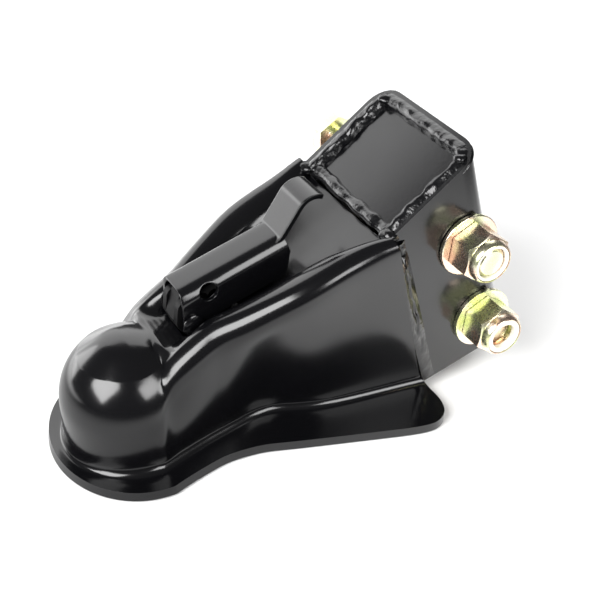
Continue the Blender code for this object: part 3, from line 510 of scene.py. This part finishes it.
def hood_cage():
    """The hood's outside as an open surface."""
    bm = bmesh.new()
    crease = bm.edges.layers.float.new("crease_edge")
    side = [on_dome(point) for point in hood_section(0.0)]
    profile = [bm.verts.new((0.0, -point.x, point.z)) for point in side]
    edges = [bm.edges.new(pair) for pair in zip(profile, profile[1:])]
    spun = bmesh.ops.spin(bm, geom=profile + edges, axis=(0.0, 0.0, 1.0), cent=(0.0, 0.0, 0.0),
                          steps=FAN_STEPS, angle=math.pi / 2.0)
    stretch_nose(bm, side[-1].x)
    edges = [item for item in spun["geom_last"] if isinstance(item, bmesh.types.BMEdge)]
    for number, row in enumerate(neck_rows() + [hood_section(y) for y in STATIONS]):
        moved = bmesh.ops.extrude_edge_only(bm, edges=edges)["geom"]
        edges = [item for item in moved if isinstance(item, bmesh.types.BMEdge)
                 and sum(vert in moved for vert in item.verts) == 2]
        ordered = chain(edges)
        for vert, point in zip(ordered, row):
            vert.co = point
        if number == len(ON_DOME_SHARES) - 1:
            for k in range(CREASE_POINTS):
                bm.edges.get((ordered[k], ordered[k + 1]))[crease] = CREASE_SHARP - CREASE_FADE * k
    bmesh.ops.remove_doubles(bm, verts=bm.verts, dist=0.001)
    bmesh.ops.mirror(bm, geom=bm.verts[:] + bm.edges[:] + bm.faces[:], axis='X', merge_dist=0.001)
    slot = [face for face in bm.faces if abs(face.calc_center_median().x) < SLOT_HALF_WIDTH
            and LATCH_SLOT[0] < face.calc_center_median().y < LATCH_SLOT[1]]
    bmesh.ops.delete(bm, geom=slot, context='FACES')
    face_outwards(bm)
    return bm


# %% [markdown]
# ## Sheet thickness and rounded edges
#
# Three modifiers finish a sheet. Solidify gives it its thickness, inwards from the drawn outside. A
# small Bevel holds the cut edges, which the subdivision would otherwise melt into a round. Then
# Subdivision Surface makes it smooth.

# %% Finish a piece
def to_object(name, bm, material):
    """A bmesh in millimetres from the ball's axis, as a smooth object with its own material."""
    bm.transform(Matrix.Translation(ORIGIN) @ Matrix.Scale(MM, 4))
    mesh = bpy.data.meshes.new(name)
    bm.to_mesh(mesh)
    bm.free()
    mesh.materials.append(material)
    mesh.shade_smooth()
    piece = bpy.data.objects.new(name, mesh)
    bpy.context.scene.collection.objects.link(piece)
    return piece


def add_thickness(piece, millimetres):
    thickness = piece.modifiers.new("sheet", 'SOLIDIFY')
    thickness.thickness = millimetres * MM
    thickness.offset = -1.0


def add_bevel(piece, width, segments=2, degrees=60.0):
    rounding = piece.modifiers.new("rounding", 'BEVEL')
    rounding.width = width * MM
    rounding.segments = segments
    rounding.limit_method = 'ANGLE'
    rounding.angle_limit = math.radians(degrees)


def subdivide(piece, levels):
    smoother = piece.modifiers.new("smoother", 'SUBSURF')
    smoother.levels = levels
    smoother.render_levels = levels


hood = to_object("hood", hood_cage(), POWDER_COAT)
add_thickness(hood, SHEET)
add_bevel(hood, 0.9)
subdivide(hood, 2)
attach(hood, BODY)
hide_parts("body_shell")
print("hood cage", len(hood.data.polygons), "faces")

# %% [markdown]
# ## Weld beads
#
# A bead of weld metal is a rope of overlapping drops. It could be a displaced tube, but the drops
# that matter are a few millimetres long, so they are put into the mesh: a row of points drawn across
# the seam is extruded along it, and noise makes the rope swell and wander. The bump in the coat adds
# the ripples that are too small for the mesh. The bracket's own rim is drawn in the same sweep as
# its bead, because the weld melts one into the other.

# %% The bracket's sloping top
BRACKET_HALF = 42.0
BRACKET_LENGTH = 56.0
BRACKET_FRONT_HEIGHT = 101.2
BRACKET_BACK_HEIGHT = 121.5
TOP_ANGLE = LEAN + math.atan((BRACKET_BACK_HEIGHT - BRACKET_FRONT_HEIGHT) / BRACKET_LENGTH)
TOP_LENGTH = BRACKET_LENGTH / math.cos(TOP_ANGLE - LEAN)
TOP_CORNER = (FOOT[0] - BRACKET_FRONT_HEIGHT * math.sin(LEAN),
              FOOT[1] + BRACKET_FRONT_HEIGHT * math.cos(LEAN))


def on_top(x, up_slope, height):
    """A point above the bracket's sloping top, from its front edge."""
    y = TOP_CORNER[0] + up_slope * math.cos(TOP_ANGLE) - height * math.sin(TOP_ANGLE)
    z = TOP_CORNER[1] + up_slope * math.sin(TOP_ANGLE) + height * math.cos(TOP_ANGLE)
    return Vector((x, y, z))


print("top slopes", round(math.degrees(TOP_ANGLE), 1), "degrees over", round(TOP_LENGTH, 1), "mm")


# %% Sweep and lumps
def sweep(rows):
    """A surface through rows of points: the first row is drawn, and each next one is extruded."""
    bm = bmesh.new()
    verts = [bm.verts.new(point) for point in rows[0]]
    edges = [bm.edges.new(pair) for pair in zip(verts, verts[1:])]
    for row in rows[1:]:
        moved = set(bmesh.ops.extrude_edge_only(bm, edges=edges)["geom"])
        verts = [next(edge.other_vert(vert) for edge in vert.link_edges if edge.other_vert(vert) in moved)
                 for vert in verts]
        for vert, point in zip(verts, row):
            vert.co = point
        edges = [bm.edges.get(pair) for pair in zip(verts, verts[1:])]
    bmesh.ops.remove_doubles(bm, verts=bm.verts, dist=0.001)
    face_outwards(bm)
    return bm


NOISE_GAIN = 1.6        # brings the noise's swing to about 1


def lumpy(point, width, seed, height):
    """Lumps of a width and a height in millimetres at a point. Each seed gives other ones."""
    return noise.noise(Vector(point) / width + Vector((seed, seed * 0.7, 0.0))) * NOISE_GAIN * height


# %% Rim of the bracket's top: wall edge and bead in one
RIM = ((0.0, -2.6), (0.9, -0.9), (2.4, 0.2), (4.2, 1.1), (6.0, 1.6), (7.6, 1.1), (8.9, -0.6), (9.8, -3.4))
RIM_CORNER = 13.0
RIM_SIDE_STEPS = 26
RIM_CORNER_STEPS = 12
RIM_BACK_STEPS = 28
BEAD_START = 1.5        # the plain edge ends here
BEAD_FADE = 4.0         # and so much further in the bead is fully lumpy
RIM_LUMPS = ((7.0, 3.0, 0.8), (3.2, 8.0, 0.5))      # each is a width, a seed and a height
RIM_WANDER = (6.0, 5.0, 0.9)


def rim_path():
    """Points of the rim's outer line and their inward directions, from the near front corner round."""
    straight = TOP_LENGTH - RIM_CORNER
    side = [(BRACKET_HALF, straight * k / RIM_SIDE_STEPS, -1.0, 0.0) for k in range(RIM_SIDE_STEPS)]
    for k in range(RIM_CORNER_STEPS + 1):
        angle = math.radians(90.0 * k / RIM_CORNER_STEPS)
        side.append((BRACKET_HALF - RIM_CORNER + RIM_CORNER * math.cos(angle),
                     straight + RIM_CORNER * math.sin(angle), -math.cos(angle), -math.sin(angle)))
    width = BRACKET_HALF - RIM_CORNER
    across = [width - 2.0 * width * k / RIM_BACK_STEPS for k in range(1, RIM_BACK_STEPS)]
    back = [(x, TOP_LENGTH, 0.0, -1.0) for x in across]
    return side + back + [(-x, up_slope, -dx, dy) for x, up_slope, dx, dy in reversed(side)]


def rim_rows():
    rows = []
    for x, up_slope, dx, dy in rim_path():
        row = []
        for inset, height in RIM:
            spot = Vector((x + dx * inset, up_slope + dy * inset, 0.0))
            on_bead = min(max((inset - BEAD_START) / BEAD_FADE, 0.0), 1.0)
            rise = sum(lumpy(spot, *lumps) for lumps in RIM_LUMPS) * on_bead
            wander = lumpy(spot, *RIM_WANDER) * on_bead
            row.append(on_top(spot.x + dx * wander, spot.y + dy * wander, height + rise))
        rows.append(row)
    return rows


rim = to_object("bracket_rim_bead", sweep(rim_rows()), WELD_COAT)
subdivide(rim, 2)
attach(rim, BODY)
print("rim", len(rim.data.polygons), "faces")

# %% Bead between the hood and the plate
FRONT_BEAD_REACH = 38.5
FRONT_BEAD_STEPS = 44
FRONT_BEAD_PLACE = (1.6, -3.2)          # of its middle: up the slope, and over the plate
FRONT_BEAD_RADII = (3.4, 2.9)
FRONT_SWELL = (9.0, 12.0, 0.22)
FRONT_WANDER = (12.0, 2.0, 0.6)
FRONT_LUMPS = (6.5, 6.0, 0.35)
FRONT_LUMPS_REACH = 4.9                 # how far the lumps differ from one side of the bead to the other


def front_rows():
    rows = []
    for step in range(FRONT_BEAD_STEPS + 1):
        x = -FRONT_BEAD_REACH + 2.0 * FRONT_BEAD_REACH * step / FRONT_BEAD_STEPS
        swell = 1.0 + lumpy((x, 0.0, 0.0), *FRONT_SWELL)
        wander = lumpy((x, 0.0, 0.0), *FRONT_WANDER)
        row = []
        for angle in range(-110, 111, 20):
            turn = math.radians(angle)
            rise = lumpy((x, FRONT_LUMPS_REACH * math.sin(turn), 0.0), *FRONT_LUMPS)
            row.append(on_top(x, FRONT_BEAD_PLACE[0] + wander + FRONT_BEAD_RADII[0] * swell * math.sin(turn),
                              FRONT_BEAD_PLACE[1] + FRONT_BEAD_RADII[1] * swell * math.cos(turn) + rise))
        rows.append(row)
    return rows


front_bead = to_object("front_bead", sweep(front_rows()), WELD_COAT)
subdivide(front_bead, 2)
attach(front_bead, BODY)
print("front bead", len(front_bead.data.polygons), "faces")

# %% Drops at the corners
DROPS = (((-39.5, -1.5, -1.5), 5.0, 0.7), ((-33.5, 2.0, -2.2), 3.6, 0.7), ((38.5, 0.5, -1.4), 4.8, 0.75),
         ((43.0, -3.0, -3.4), 4.4, 0.9), ((34.5, 3.2, -2.0), 3.4, 0.7), ((36.0, 50.0, 0.0), 3.6, 0.7),
         ((-33.0, 52.5, 0.0), 4.0, 0.6))     # place on the top, radius, and squash along its height


def drop(bm, spot, radius, squash, seed):
    """A drop of weld metal: a ball pushed about by noise."""
    ball = bmesh.ops.create_icosphere(bm, subdivisions=3, radius=radius)["verts"]
    for vert in ball:
        vert.co *= 1.0 + lumpy(vert.co, radius * 0.9, seed, 0.16)
        vert.co.z *= squash
        vert.co += spot


bm = bmesh.new()
for number, (spot, radius, squash) in enumerate(DROPS, 1):
    drop(bm, on_top(*spot), radius, squash, float(number))
drops = to_object("weld_drops", bm, WELD_COAT)
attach(drops, BODY)
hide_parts("top_plate_weld")
print("drops", len(DROPS))

# %% [markdown]
# ## Upright seams
#
# On either side the hood's wall meets the bracket in an upright fillet weld. It is drawn as a strip
# from one plate to the other, a little rounded, with a shallow groove that runs down its upper
# two thirds, where the welder's two passes did not quite meet.

# %% Beads between the hood and the bracket
SEAM_START = 1.5
SEAM_LENGTH = 94.5
SEAM_STEPS = 80
SEAM_WIDTH = 8.0
SEAM_ACROSS = 12
SEAM_BEFORE = 1.2           # it starts so far in front of the bracket's edge
SEAM_CLIMB = 2.0            # and ends so much higher than it starts, as it lies square to the seam
SEAM_OVER = 0.6             # the hood's side stands at least this far over the bracket's face
SEAM_SUNK = 0.2             # and the bracket's side sinks so far into it
SEAM_EASE = 1.25
SEAM_CROWN = 0.5
SEAM_LUMPS = (5.0, 7.0, 0.25)
GROOVE_HEIGHTS = (28.0, 20.0)       # it begins at this height, and is full so much further up
GROOVE_PLACE = 0.45                 # this and the next two are shares of the seam's width
GROOVE_WANDER = (9.0, 4.0, 0.16)
GROOVE_HALF = 0.09
GROOVE_DEPTH = 1.1
GROOVE_LUMPS = (6.0, 9.0, 0.5)


def wall_at(height):
    """How far out the hood's wall stands at its end, at some height."""
    ends = [(point.z, point.x) for point in hood_section(HOOD_END) if point.x > 20.0 and point.z > 8.0]
    ends.sort()
    for (low, low_x), (high, high_x) in zip(ends, ends[1:]):
        if low <= height <= high:
            return low_x + (high_x - low_x) * (height - low) / (high - low)
    return ends[0][1] if height < ends[0][0] else ends[-1][1]


def upright_rows(side):
    rows = []
    for step in range(SEAM_STEPS + 1):
        up_wall = SEAM_START + SEAM_LENGTH * step / SEAM_STEPS
        y = FOOT[0] - up_wall * math.sin(LEAN)
        z = FOOT[1] + up_wall * math.cos(LEAN)
        outside = max(wall_at(z), BRACKET_HALF + SEAM_OVER)
        groove = GROOVE_PLACE + lumpy((0.0, 0.0, z), *GROOVE_WANDER)
        full = max(0.0, min(1.0, (z - GROOVE_HEIGHTS[0]) / GROOVE_HEIGHTS[1]))
        deep = full * (GROOVE_DEPTH + lumpy((0.0, 0.0, z), *GROOVE_LUMPS))
        row = []
        for k in range(SEAM_ACROSS + 1):
            share = k / SEAM_ACROSS
            crown = math.sin(math.pi * share)
            x = outside + (BRACKET_HALF - SEAM_SUNK - outside) * share ** SEAM_EASE + SEAM_CROWN * crown
            dip = deep * math.exp(-((share - groove) / GROOVE_HALF) ** 2)
            x += lumpy((share * 3.0, 0.0, z), *SEAM_LUMPS) * crown - dip
            row.append(Vector((side * x, y - SEAM_BEFORE + SEAM_WIDTH * share, z + SEAM_CLIMB * share)))
        rows.append(row)
    return rows


for side, name in ((1.0, "side_weld_right"), (-1.0, "side_weld_left")):
    seam = to_object(name + "_bead", sweep(upright_rows(side)), WELD_COAT)
    subdivide(seam, 1)
    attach(seam, BODY)
    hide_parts(name)
    print(name, len(seam.data.polygons), "faces")

# %% [markdown]
# ## The lever
#
# The lever is a strip of sheet bent to a channel, open below, whose top runs on as a finger tab. Each
# shoulder is not a plain bend but a small flat between two bends, and that flat is what lights up as
# one bright line along the lever. A Bevel on a box would give round shoulders only, so the section is
# drawn point by point and extruded from station to station. The hole for a padlock cuts into the
# shoulder, where a Boolean would leave facets too thin to subdivide, so the section's own vertices
# are slid to a circle and the faces inside it go.

# %% Sizes of the lever: s runs along it from its front edge, t stands up from its top
LEVER_FRONT = (26.2, 83.5)
LEVER_REAR = (80.5, 98.4)
LEVER_ANGLE = math.atan2(LEVER_REAR[1] - LEVER_FRONT[1], LEVER_REAR[0] - LEVER_FRONT[0])
LEVER_LENGTH = math.hypot(LEVER_REAR[1] - LEVER_FRONT[1], LEVER_REAR[0] - LEVER_FRONT[0])
LEVER_SHEET = 2.6
LEVER_BOTTOM = ((0, -20.5), (4, -22.0), (9, -21.6), (16, -20.0), (52, -20.0), (55, -15.0), (57.5, -7.5))
SHOULDER = ((12.0, -6.1), (11.8, -4.7), (9.9, -1.7), (8.5, -0.5), (6.4, 0.0))       # x and t, up to the top
UPRIGHT_CUT = 7.0           # the front end is cut upright, and the sections are square after this length
HOLE_PLACE = (12.9, -6.1)
HOLE_RADIUS = 4.8
HOLE_LOW = -10.9            # depth of the hole's lower edge
SIDE_LOW = -6.9             # the side's lower point goes no higher than this
SIDE_SPREAD = (5.4, 3.2)    # and the side's two points lie this far below half of its depth


def lever_point(x, s, t):
    y = LEVER_FRONT[0] + s * math.cos(LEVER_ANGLE) - t * math.sin(LEVER_ANGLE)
    z = LEVER_FRONT[1] + s * math.sin(LEVER_ANGLE) + t * math.cos(LEVER_ANGLE)
    return Vector((x, y, z))


def shoulder_x(t):
    """How far out the lever's section stands at a depth t below its top."""
    for (low_x, low), (high_x, high) in zip(SHOULDER, SHOULDER[1:]):
        if low <= t <= high:
            return low_x + (high_x - low_x) * (t - low) / (high - low)
    return SHOULDER[0][0]


def lever_row(s):
    """The section at one station."""
    bottom = along(LEVER_BOTTOM, s)
    half_way = bottom * 0.5
    depths = [bottom, min(half_way - SIDE_SPREAD[0], SIDE_LOW), max(HOLE_LOW, half_way - SIDE_SPREAD[1])]
    half = [(SHOULDER[0][0], depth) for depth in depths] + list(SHOULDER) + [(0.0, 0.0)]
    upright = max(0.0, 1.0 - s / UPRIGHT_CUT) * math.tan(LEVER_ANGLE)
    whole = half + [(-x, t) for x, t in reversed(half[:-1])]
    return [lever_point(x, s + t * upright, t) for x, t in whole]


print("lever", round(LEVER_LENGTH, 1), "mm long, rising", round(math.degrees(LEVER_ANGLE), 1), "degrees")

# %% Channel with its hole
HOLE_STATIONS = [HOLE_PLACE[0] + HOLE_RADIUS * share for share in (-1.0, 0.0, 1.0)]
HOLE_ROWS = (2, 3, 4, 5)                        # section points at its lower edge, sides and upper edge
HOLE_DEPTHS = (HOLE_LOW, -6.1, -4.6, -1.7)      # and the depths that set each one's angle on the circle
LEVER_STATIONS = [0.0, 3.5, *HOLE_STATIONS, 24.0, 34.0, 44.0, 50.0, 54.0, LEVER_LENGTH + 1.2]


def open_hole(bm, side):
    """Slide the vertices round the hole's place to a circle, and delete the faces inside it."""
    ring = {}
    for station in HOLE_STATIONS:
        row = lever_row(station)
        for k in HOLE_ROWS:
            spot = row[k] if side > 0.0 else row[-1 - k]
            ring[(station, k)] = min(bm.verts, key=lambda vert: (vert.co - spot).length)
    middle = [ring[(HOLE_STATIONS[1], k)] for k in HOLE_ROWS[1:-1]]
    inside = [face for face in bm.faces if all(vert in ring.values() for vert in face.verts)]
    for (station, k), vert in ring.items():
        if vert not in middle:
            turn = math.atan2(HOLE_DEPTHS[k - HOLE_ROWS[0]] - HOLE_PLACE[1], station - HOLE_PLACE[0])
            s = HOLE_PLACE[0] + HOLE_RADIUS * math.cos(turn)
            t = HOLE_PLACE[1] + HOLE_RADIUS * math.sin(turn)
            vert.co = lever_point(side * shoulder_x(t), s, t)
    bmesh.ops.delete(bm, geom=inside, context='FACES')


channel = sweep([lever_row(s) for s in LEVER_STATIONS])
for side in (1.0, -1.0):
    open_hole(channel, side)
print("channel", len(channel.faces), "faces")

# %% [markdown]
# ## Finger tab
#
# The lever's top runs on past the channel, bends up, and curls over to the rear, so that a finger
# under it never meets the cut edge. It is a second sweep, along a line with a bend and an arc, and it
# starts inside the channel's top, where the press has folded the one out of the other.

# %% Tab
TAB_ROOT = ((4.0, -1.2), (1.6, -0.3), (0.2, 0.6))       # before the lever's rear edge, and above its top
TAB_RISE = (88.6, 110.6)                                # y and z where the straight part ends
TAB_RISE_SHARES = (0.1, 0.5, 0.92)
TAB_CURL = (98.4, 106.4)
TAB_CURL_RADIUS = 10.6
TAB_CURL_ANGLES = (150.0, 62.0)
TAB_ACROSS = (-10.0, -8.8, -3.0, 3.0, 8.8, 10.0)

tab_path = [lever_point(0.0, LEVER_LENGTH - before, above) for before, above in TAB_ROOT]
tab_path += [tab_path[-1].lerp(Vector((0.0, *TAB_RISE)), share) for share in TAB_RISE_SHARES]
tab_path += [Vector((0.0, *point)) for point in arc(TAB_CURL, TAB_CURL_RADIUS, *TAB_CURL_ANGLES, 6)]
tab = sweep([[point + Vector((x, 0.0, 0.0)) for x in TAB_ACROSS] for point in tab_path])
tab_mesh = bpy.data.meshes.new("tab")
tab.to_mesh(tab_mesh)
tab.free()
channel.from_mesh(tab_mesh)
bpy.data.meshes.remove(tab_mesh)

lever = to_object("lever_sheet", channel, POWDER_COAT)
add_thickness(lever, LEVER_SHEET)
add_bevel(lever, 0.5)
subdivide(lever, 2)
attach(lever, frame["nodes"]["lever"].parent.name.removeprefix("body:"))
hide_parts("lever")
print("lever cage", len(lever.data.polygons), "faces")

# %% [markdown]
# ## Pieces that keep the model's own shape
#
# Turned and cut pieces are right as they are, except for one thing: a real edge is never sharp. Each
# of them is copied, its loose triangles are merged and its flat facets dissolved, and a small bevel
# rounds the edges. A bevel modifier could be left to do all of it, but it only works on a mesh whose
# facets are joined, so the merging comes first. Weighted normals then keep the flats flat, so that a
# wrench flat mirrors one tone and not a gradient. The latch's inner pieces, its pin and the plate
# under the bead go without the bevel, and only have their edges marked sharp.

# %% Copy, merge and round
ROUNDED_FROM = 30.0         # degrees: edges that bend less stay smooth
OWN_SHAPE = ("body_shell", "lever", "top_plate_weld", "side_weld_right", "side_weld_left")
INSIDE = ("lever_cam", "clamp_pin", "clamp_pin_clip", "lever_pin_clip", "clamp_spring", "ball_clamp",
          "latch_cheek_right", "latch_cheek_left")


def rounded_copy(name, material, bevel):
    """A merged copy of a CAD node with rounded edges, which takes the node's place."""
    node = frame["nodes"][name]
    bm = bmesh.new()
    bm.from_mesh(node.data)
    bmesh.ops.remove_doubles(bm, verts=bm.verts, dist=0.00001)
    bmesh.ops.dissolve_limit(bm, angle_limit=math.radians(1.0), verts=bm.verts, edges=bm.edges)
    bmesh.ops.recalc_face_normals(bm, faces=bm.faces)
    for face in bm.faces:
        face.smooth = True
    mesh = bpy.data.meshes.new(name + "_finished")
    bm.to_mesh(mesh)
    bm.free()
    mesh.materials.append(material)
    piece = bpy.data.objects.new(name + "_finished", mesh)
    bpy.context.scene.collection.objects.link(piece)
    if bevel:
        add_bevel(piece, bevel, 2 if material is NYLON else 3, ROUNDED_FROM)
        flats = piece.modifiers.new("flats", 'WEIGHTED_NORMAL')
        flats.keep_sharp = True
    else:
        mesh.set_sharp_from_angle(angle=math.radians(ROUNDED_FROM))
    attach(piece, node.parent.name.removeprefix("body:"))
    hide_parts(name)


copied = [name for name in frame["nodes"] if name not in OWN_SHAPE]
for name in copied:
    if name.startswith("nut_ring"):
        rounded_copy(name, NYLON, 0.5)
    elif any(word in name for word in ("bolt", "washer", "nut")):
        rounded_copy(name, YELLOW_ZINC, 0.5)
    elif name in INSIDE:
        rounded_copy(name, BLACKENED, 0.0)
    else:
        rounded_copy(name, POWDER_COAT, 0.9 if name == "rear_bracket" else 0.0)
print("copied pieces", len(copied))

# %% [markdown]
# ## White paper
#
# The coupler stands on white paper. In its gloss, though, the paper of a real studio is only a sheet:
# near the coupler it mirrors bright, and past its edge the room is dark, which is what gives black
# gloss its depth. Light Path tells the two apart: the camera sees one even white, and a mirrored ray
# sees paper with painted light in its colour: painted shade fades it out away from the coupler, and
# painted light makes it brighter behind and towards the window on the left.

# %% Table
def white_table():
    material, shader, place = new_material("white_paper")
    distance = add_node(material, "ShaderNodeVectorMath", {0: place}, operation='LENGTH')
    # Painted shade: for mirrored rays the paper's colour fades from white to dark away from the coupler.
    sheet = add_node(material, "ShaderNodeMapRange", {"Value": distance.outputs["Value"], "From Min": 0.2,
                                                     "From Max": 0.42, "To Min": 1.0, "To Max": 0.12})
    axes = add_node(material, "ShaderNodeSeparateXYZ", {"Vector": place})
    # Painted light: for mirrored rays the paper's colour grows brighter behind the coupler and towards the
    # window.
    painted_light_along_table = add_node(material, "ShaderNodeMapRange", {"Value": axes.outputs["Y"], "From Min": -0.08,
                                                           "From Max": 0.08, "To Min": 0.66, "To Max": 1.4})
    painted_window_light = add_node(material, "ShaderNodeMapRange", {"Value": axes.outputs["X"], "From Min": -0.1,
                                                         "From Max": -0.3, "To Min": 0.0, "To Max": 1.7})
    painted_lit_paper = add_node(material, "ShaderNodeMath", {0: sheet.outputs["Result"], 1: painted_light_along_table.outputs["Result"]},
                   operation='MULTIPLY')
    painted_paper_in_gloss = add_node(material, "ShaderNodeMath", {0: painted_lit_paper.outputs["Value"], 1: painted_window_light.outputs["Result"]},
                    operation='MAXIMUM')
    rays = add_node(material, "ShaderNodeLightPath")
    mirrored = add_node(material, "ShaderNodeMix", {"Factor": rays.outputs["Is Glossy Ray"],
                                                   "A": 0.9, "B": painted_paper_in_gloss.outputs["Value"]})
    colour = add_node(material, "ShaderNodeCombineXYZ", {axis: mirrored.outputs["Result"] for axis in "XYZ"})
    set_inputs(material, shader, {"Base Color": colour.outputs["Vector"], "Roughness": 0.9,
                                  "Specular IOR Level": 0.0})
    return material


bm = bmesh.new()
bmesh.ops.create_grid(bm, x_segments=1, y_segments=1, size=4.0)
floor_mesh = bpy.data.meshes.new("floor")
bm.to_mesh(floor_mesh)
bm.free()
floor = bpy.data.objects.new("floor", floor_mesh)
bpy.context.scene.collection.objects.link(floor)
floor.location.z = -0.0004      # just under the flange, so that the two don't flicker into each other
floor_mesh.materials.append(white_table())
print("table", [round(side, 1) for side in floor.dimensions])

# %% [markdown]
# ## Soft boxes and a window
#
# Each highlight on the dome is the picture of a lamp, so the lamps were placed by what the dome
# mirrors: a direction, a size in degrees and a brightness. A big box in front and a lower one at the
# side give the two bright squares on the dome and the long lines on the ridges. A wide low window on
# the far side gives the grey sheen on the lever, the valley and the plate. It is brightest in its
# middle, so it is two lamps of different sizes one over the other, with a strip below it and another
# at its front end, which lights the finger tab. The world is nearly dark.

# %% Lamps
WATTS_OF_WHITE = 4.0        # an area lamp shows as white at this many watts on each square metre
LAMP_CENTRE = at(0.0, 40.0, 40.0)


def soft_box(name, azimuth, elevation, wide, high, brightness, roll=0.0, distance=1.8):
    """A soft box that fills so many degrees of the coupler's surroundings, at so many times white."""
    lamp = bpy.data.lights.new(name, 'AREA')
    lamp.shape = 'RECTANGLE'
    lamp.size = 2.0 * distance * math.tan(math.radians(wide / 2.0))
    lamp.size_y = 2.0 * distance * math.tan(math.radians(high / 2.0))
    lamp.energy = brightness * lamp.size * lamp.size_y * WATTS_OF_WHITE
    box = bpy.data.objects.new(name, lamp)
    bpy.context.scene.collection.objects.link(box)
    line = towards(math.radians(azimuth), math.radians(elevation))
    box.location = LAMP_CENTRE + line * distance
    facing = (-line).to_track_quat('-Z', 'Y') @ Quaternion((0.0, 0.0, 1.0), math.radians(roll))
    box.rotation_euler = facing.to_euler()


soft_box("front_box", 19.0, 37.5, 33.0, 37.0, 10.0, roll=-30.0)
soft_box("side_box", 107.0, 33.0, 31.0, 20.0, 7.4, roll=11.0, distance=0.8)
soft_box("window", -97.0, 32.0, 66.0, 22.0, 2.0, roll=-18.0)
soft_box("window_edge", -97.0, 32.0, 80.0, 37.0, 2.0, roll=-18.0)
soft_box("window_low", -75.0, 0.0, 64.0, 17.0, 2.2)
soft_box("window_front", -56.0, 15.0, 26.0, 28.0, 2.7, distance=1.5)

# %% World and colours
world = bpy.data.worlds.new("studio")
bpy.context.scene.world = world
world.use_nodes = True
world.node_tree.nodes["Background"].inputs["Color"].default_value = linear("#ffffff")
world.node_tree.nodes["Background"].inputs["Strength"].default_value = 0.12
bpy.context.scene.view_settings.view_transform = 'Standard'
print("lamps", [lamp.name for lamp in bpy.data.lights])
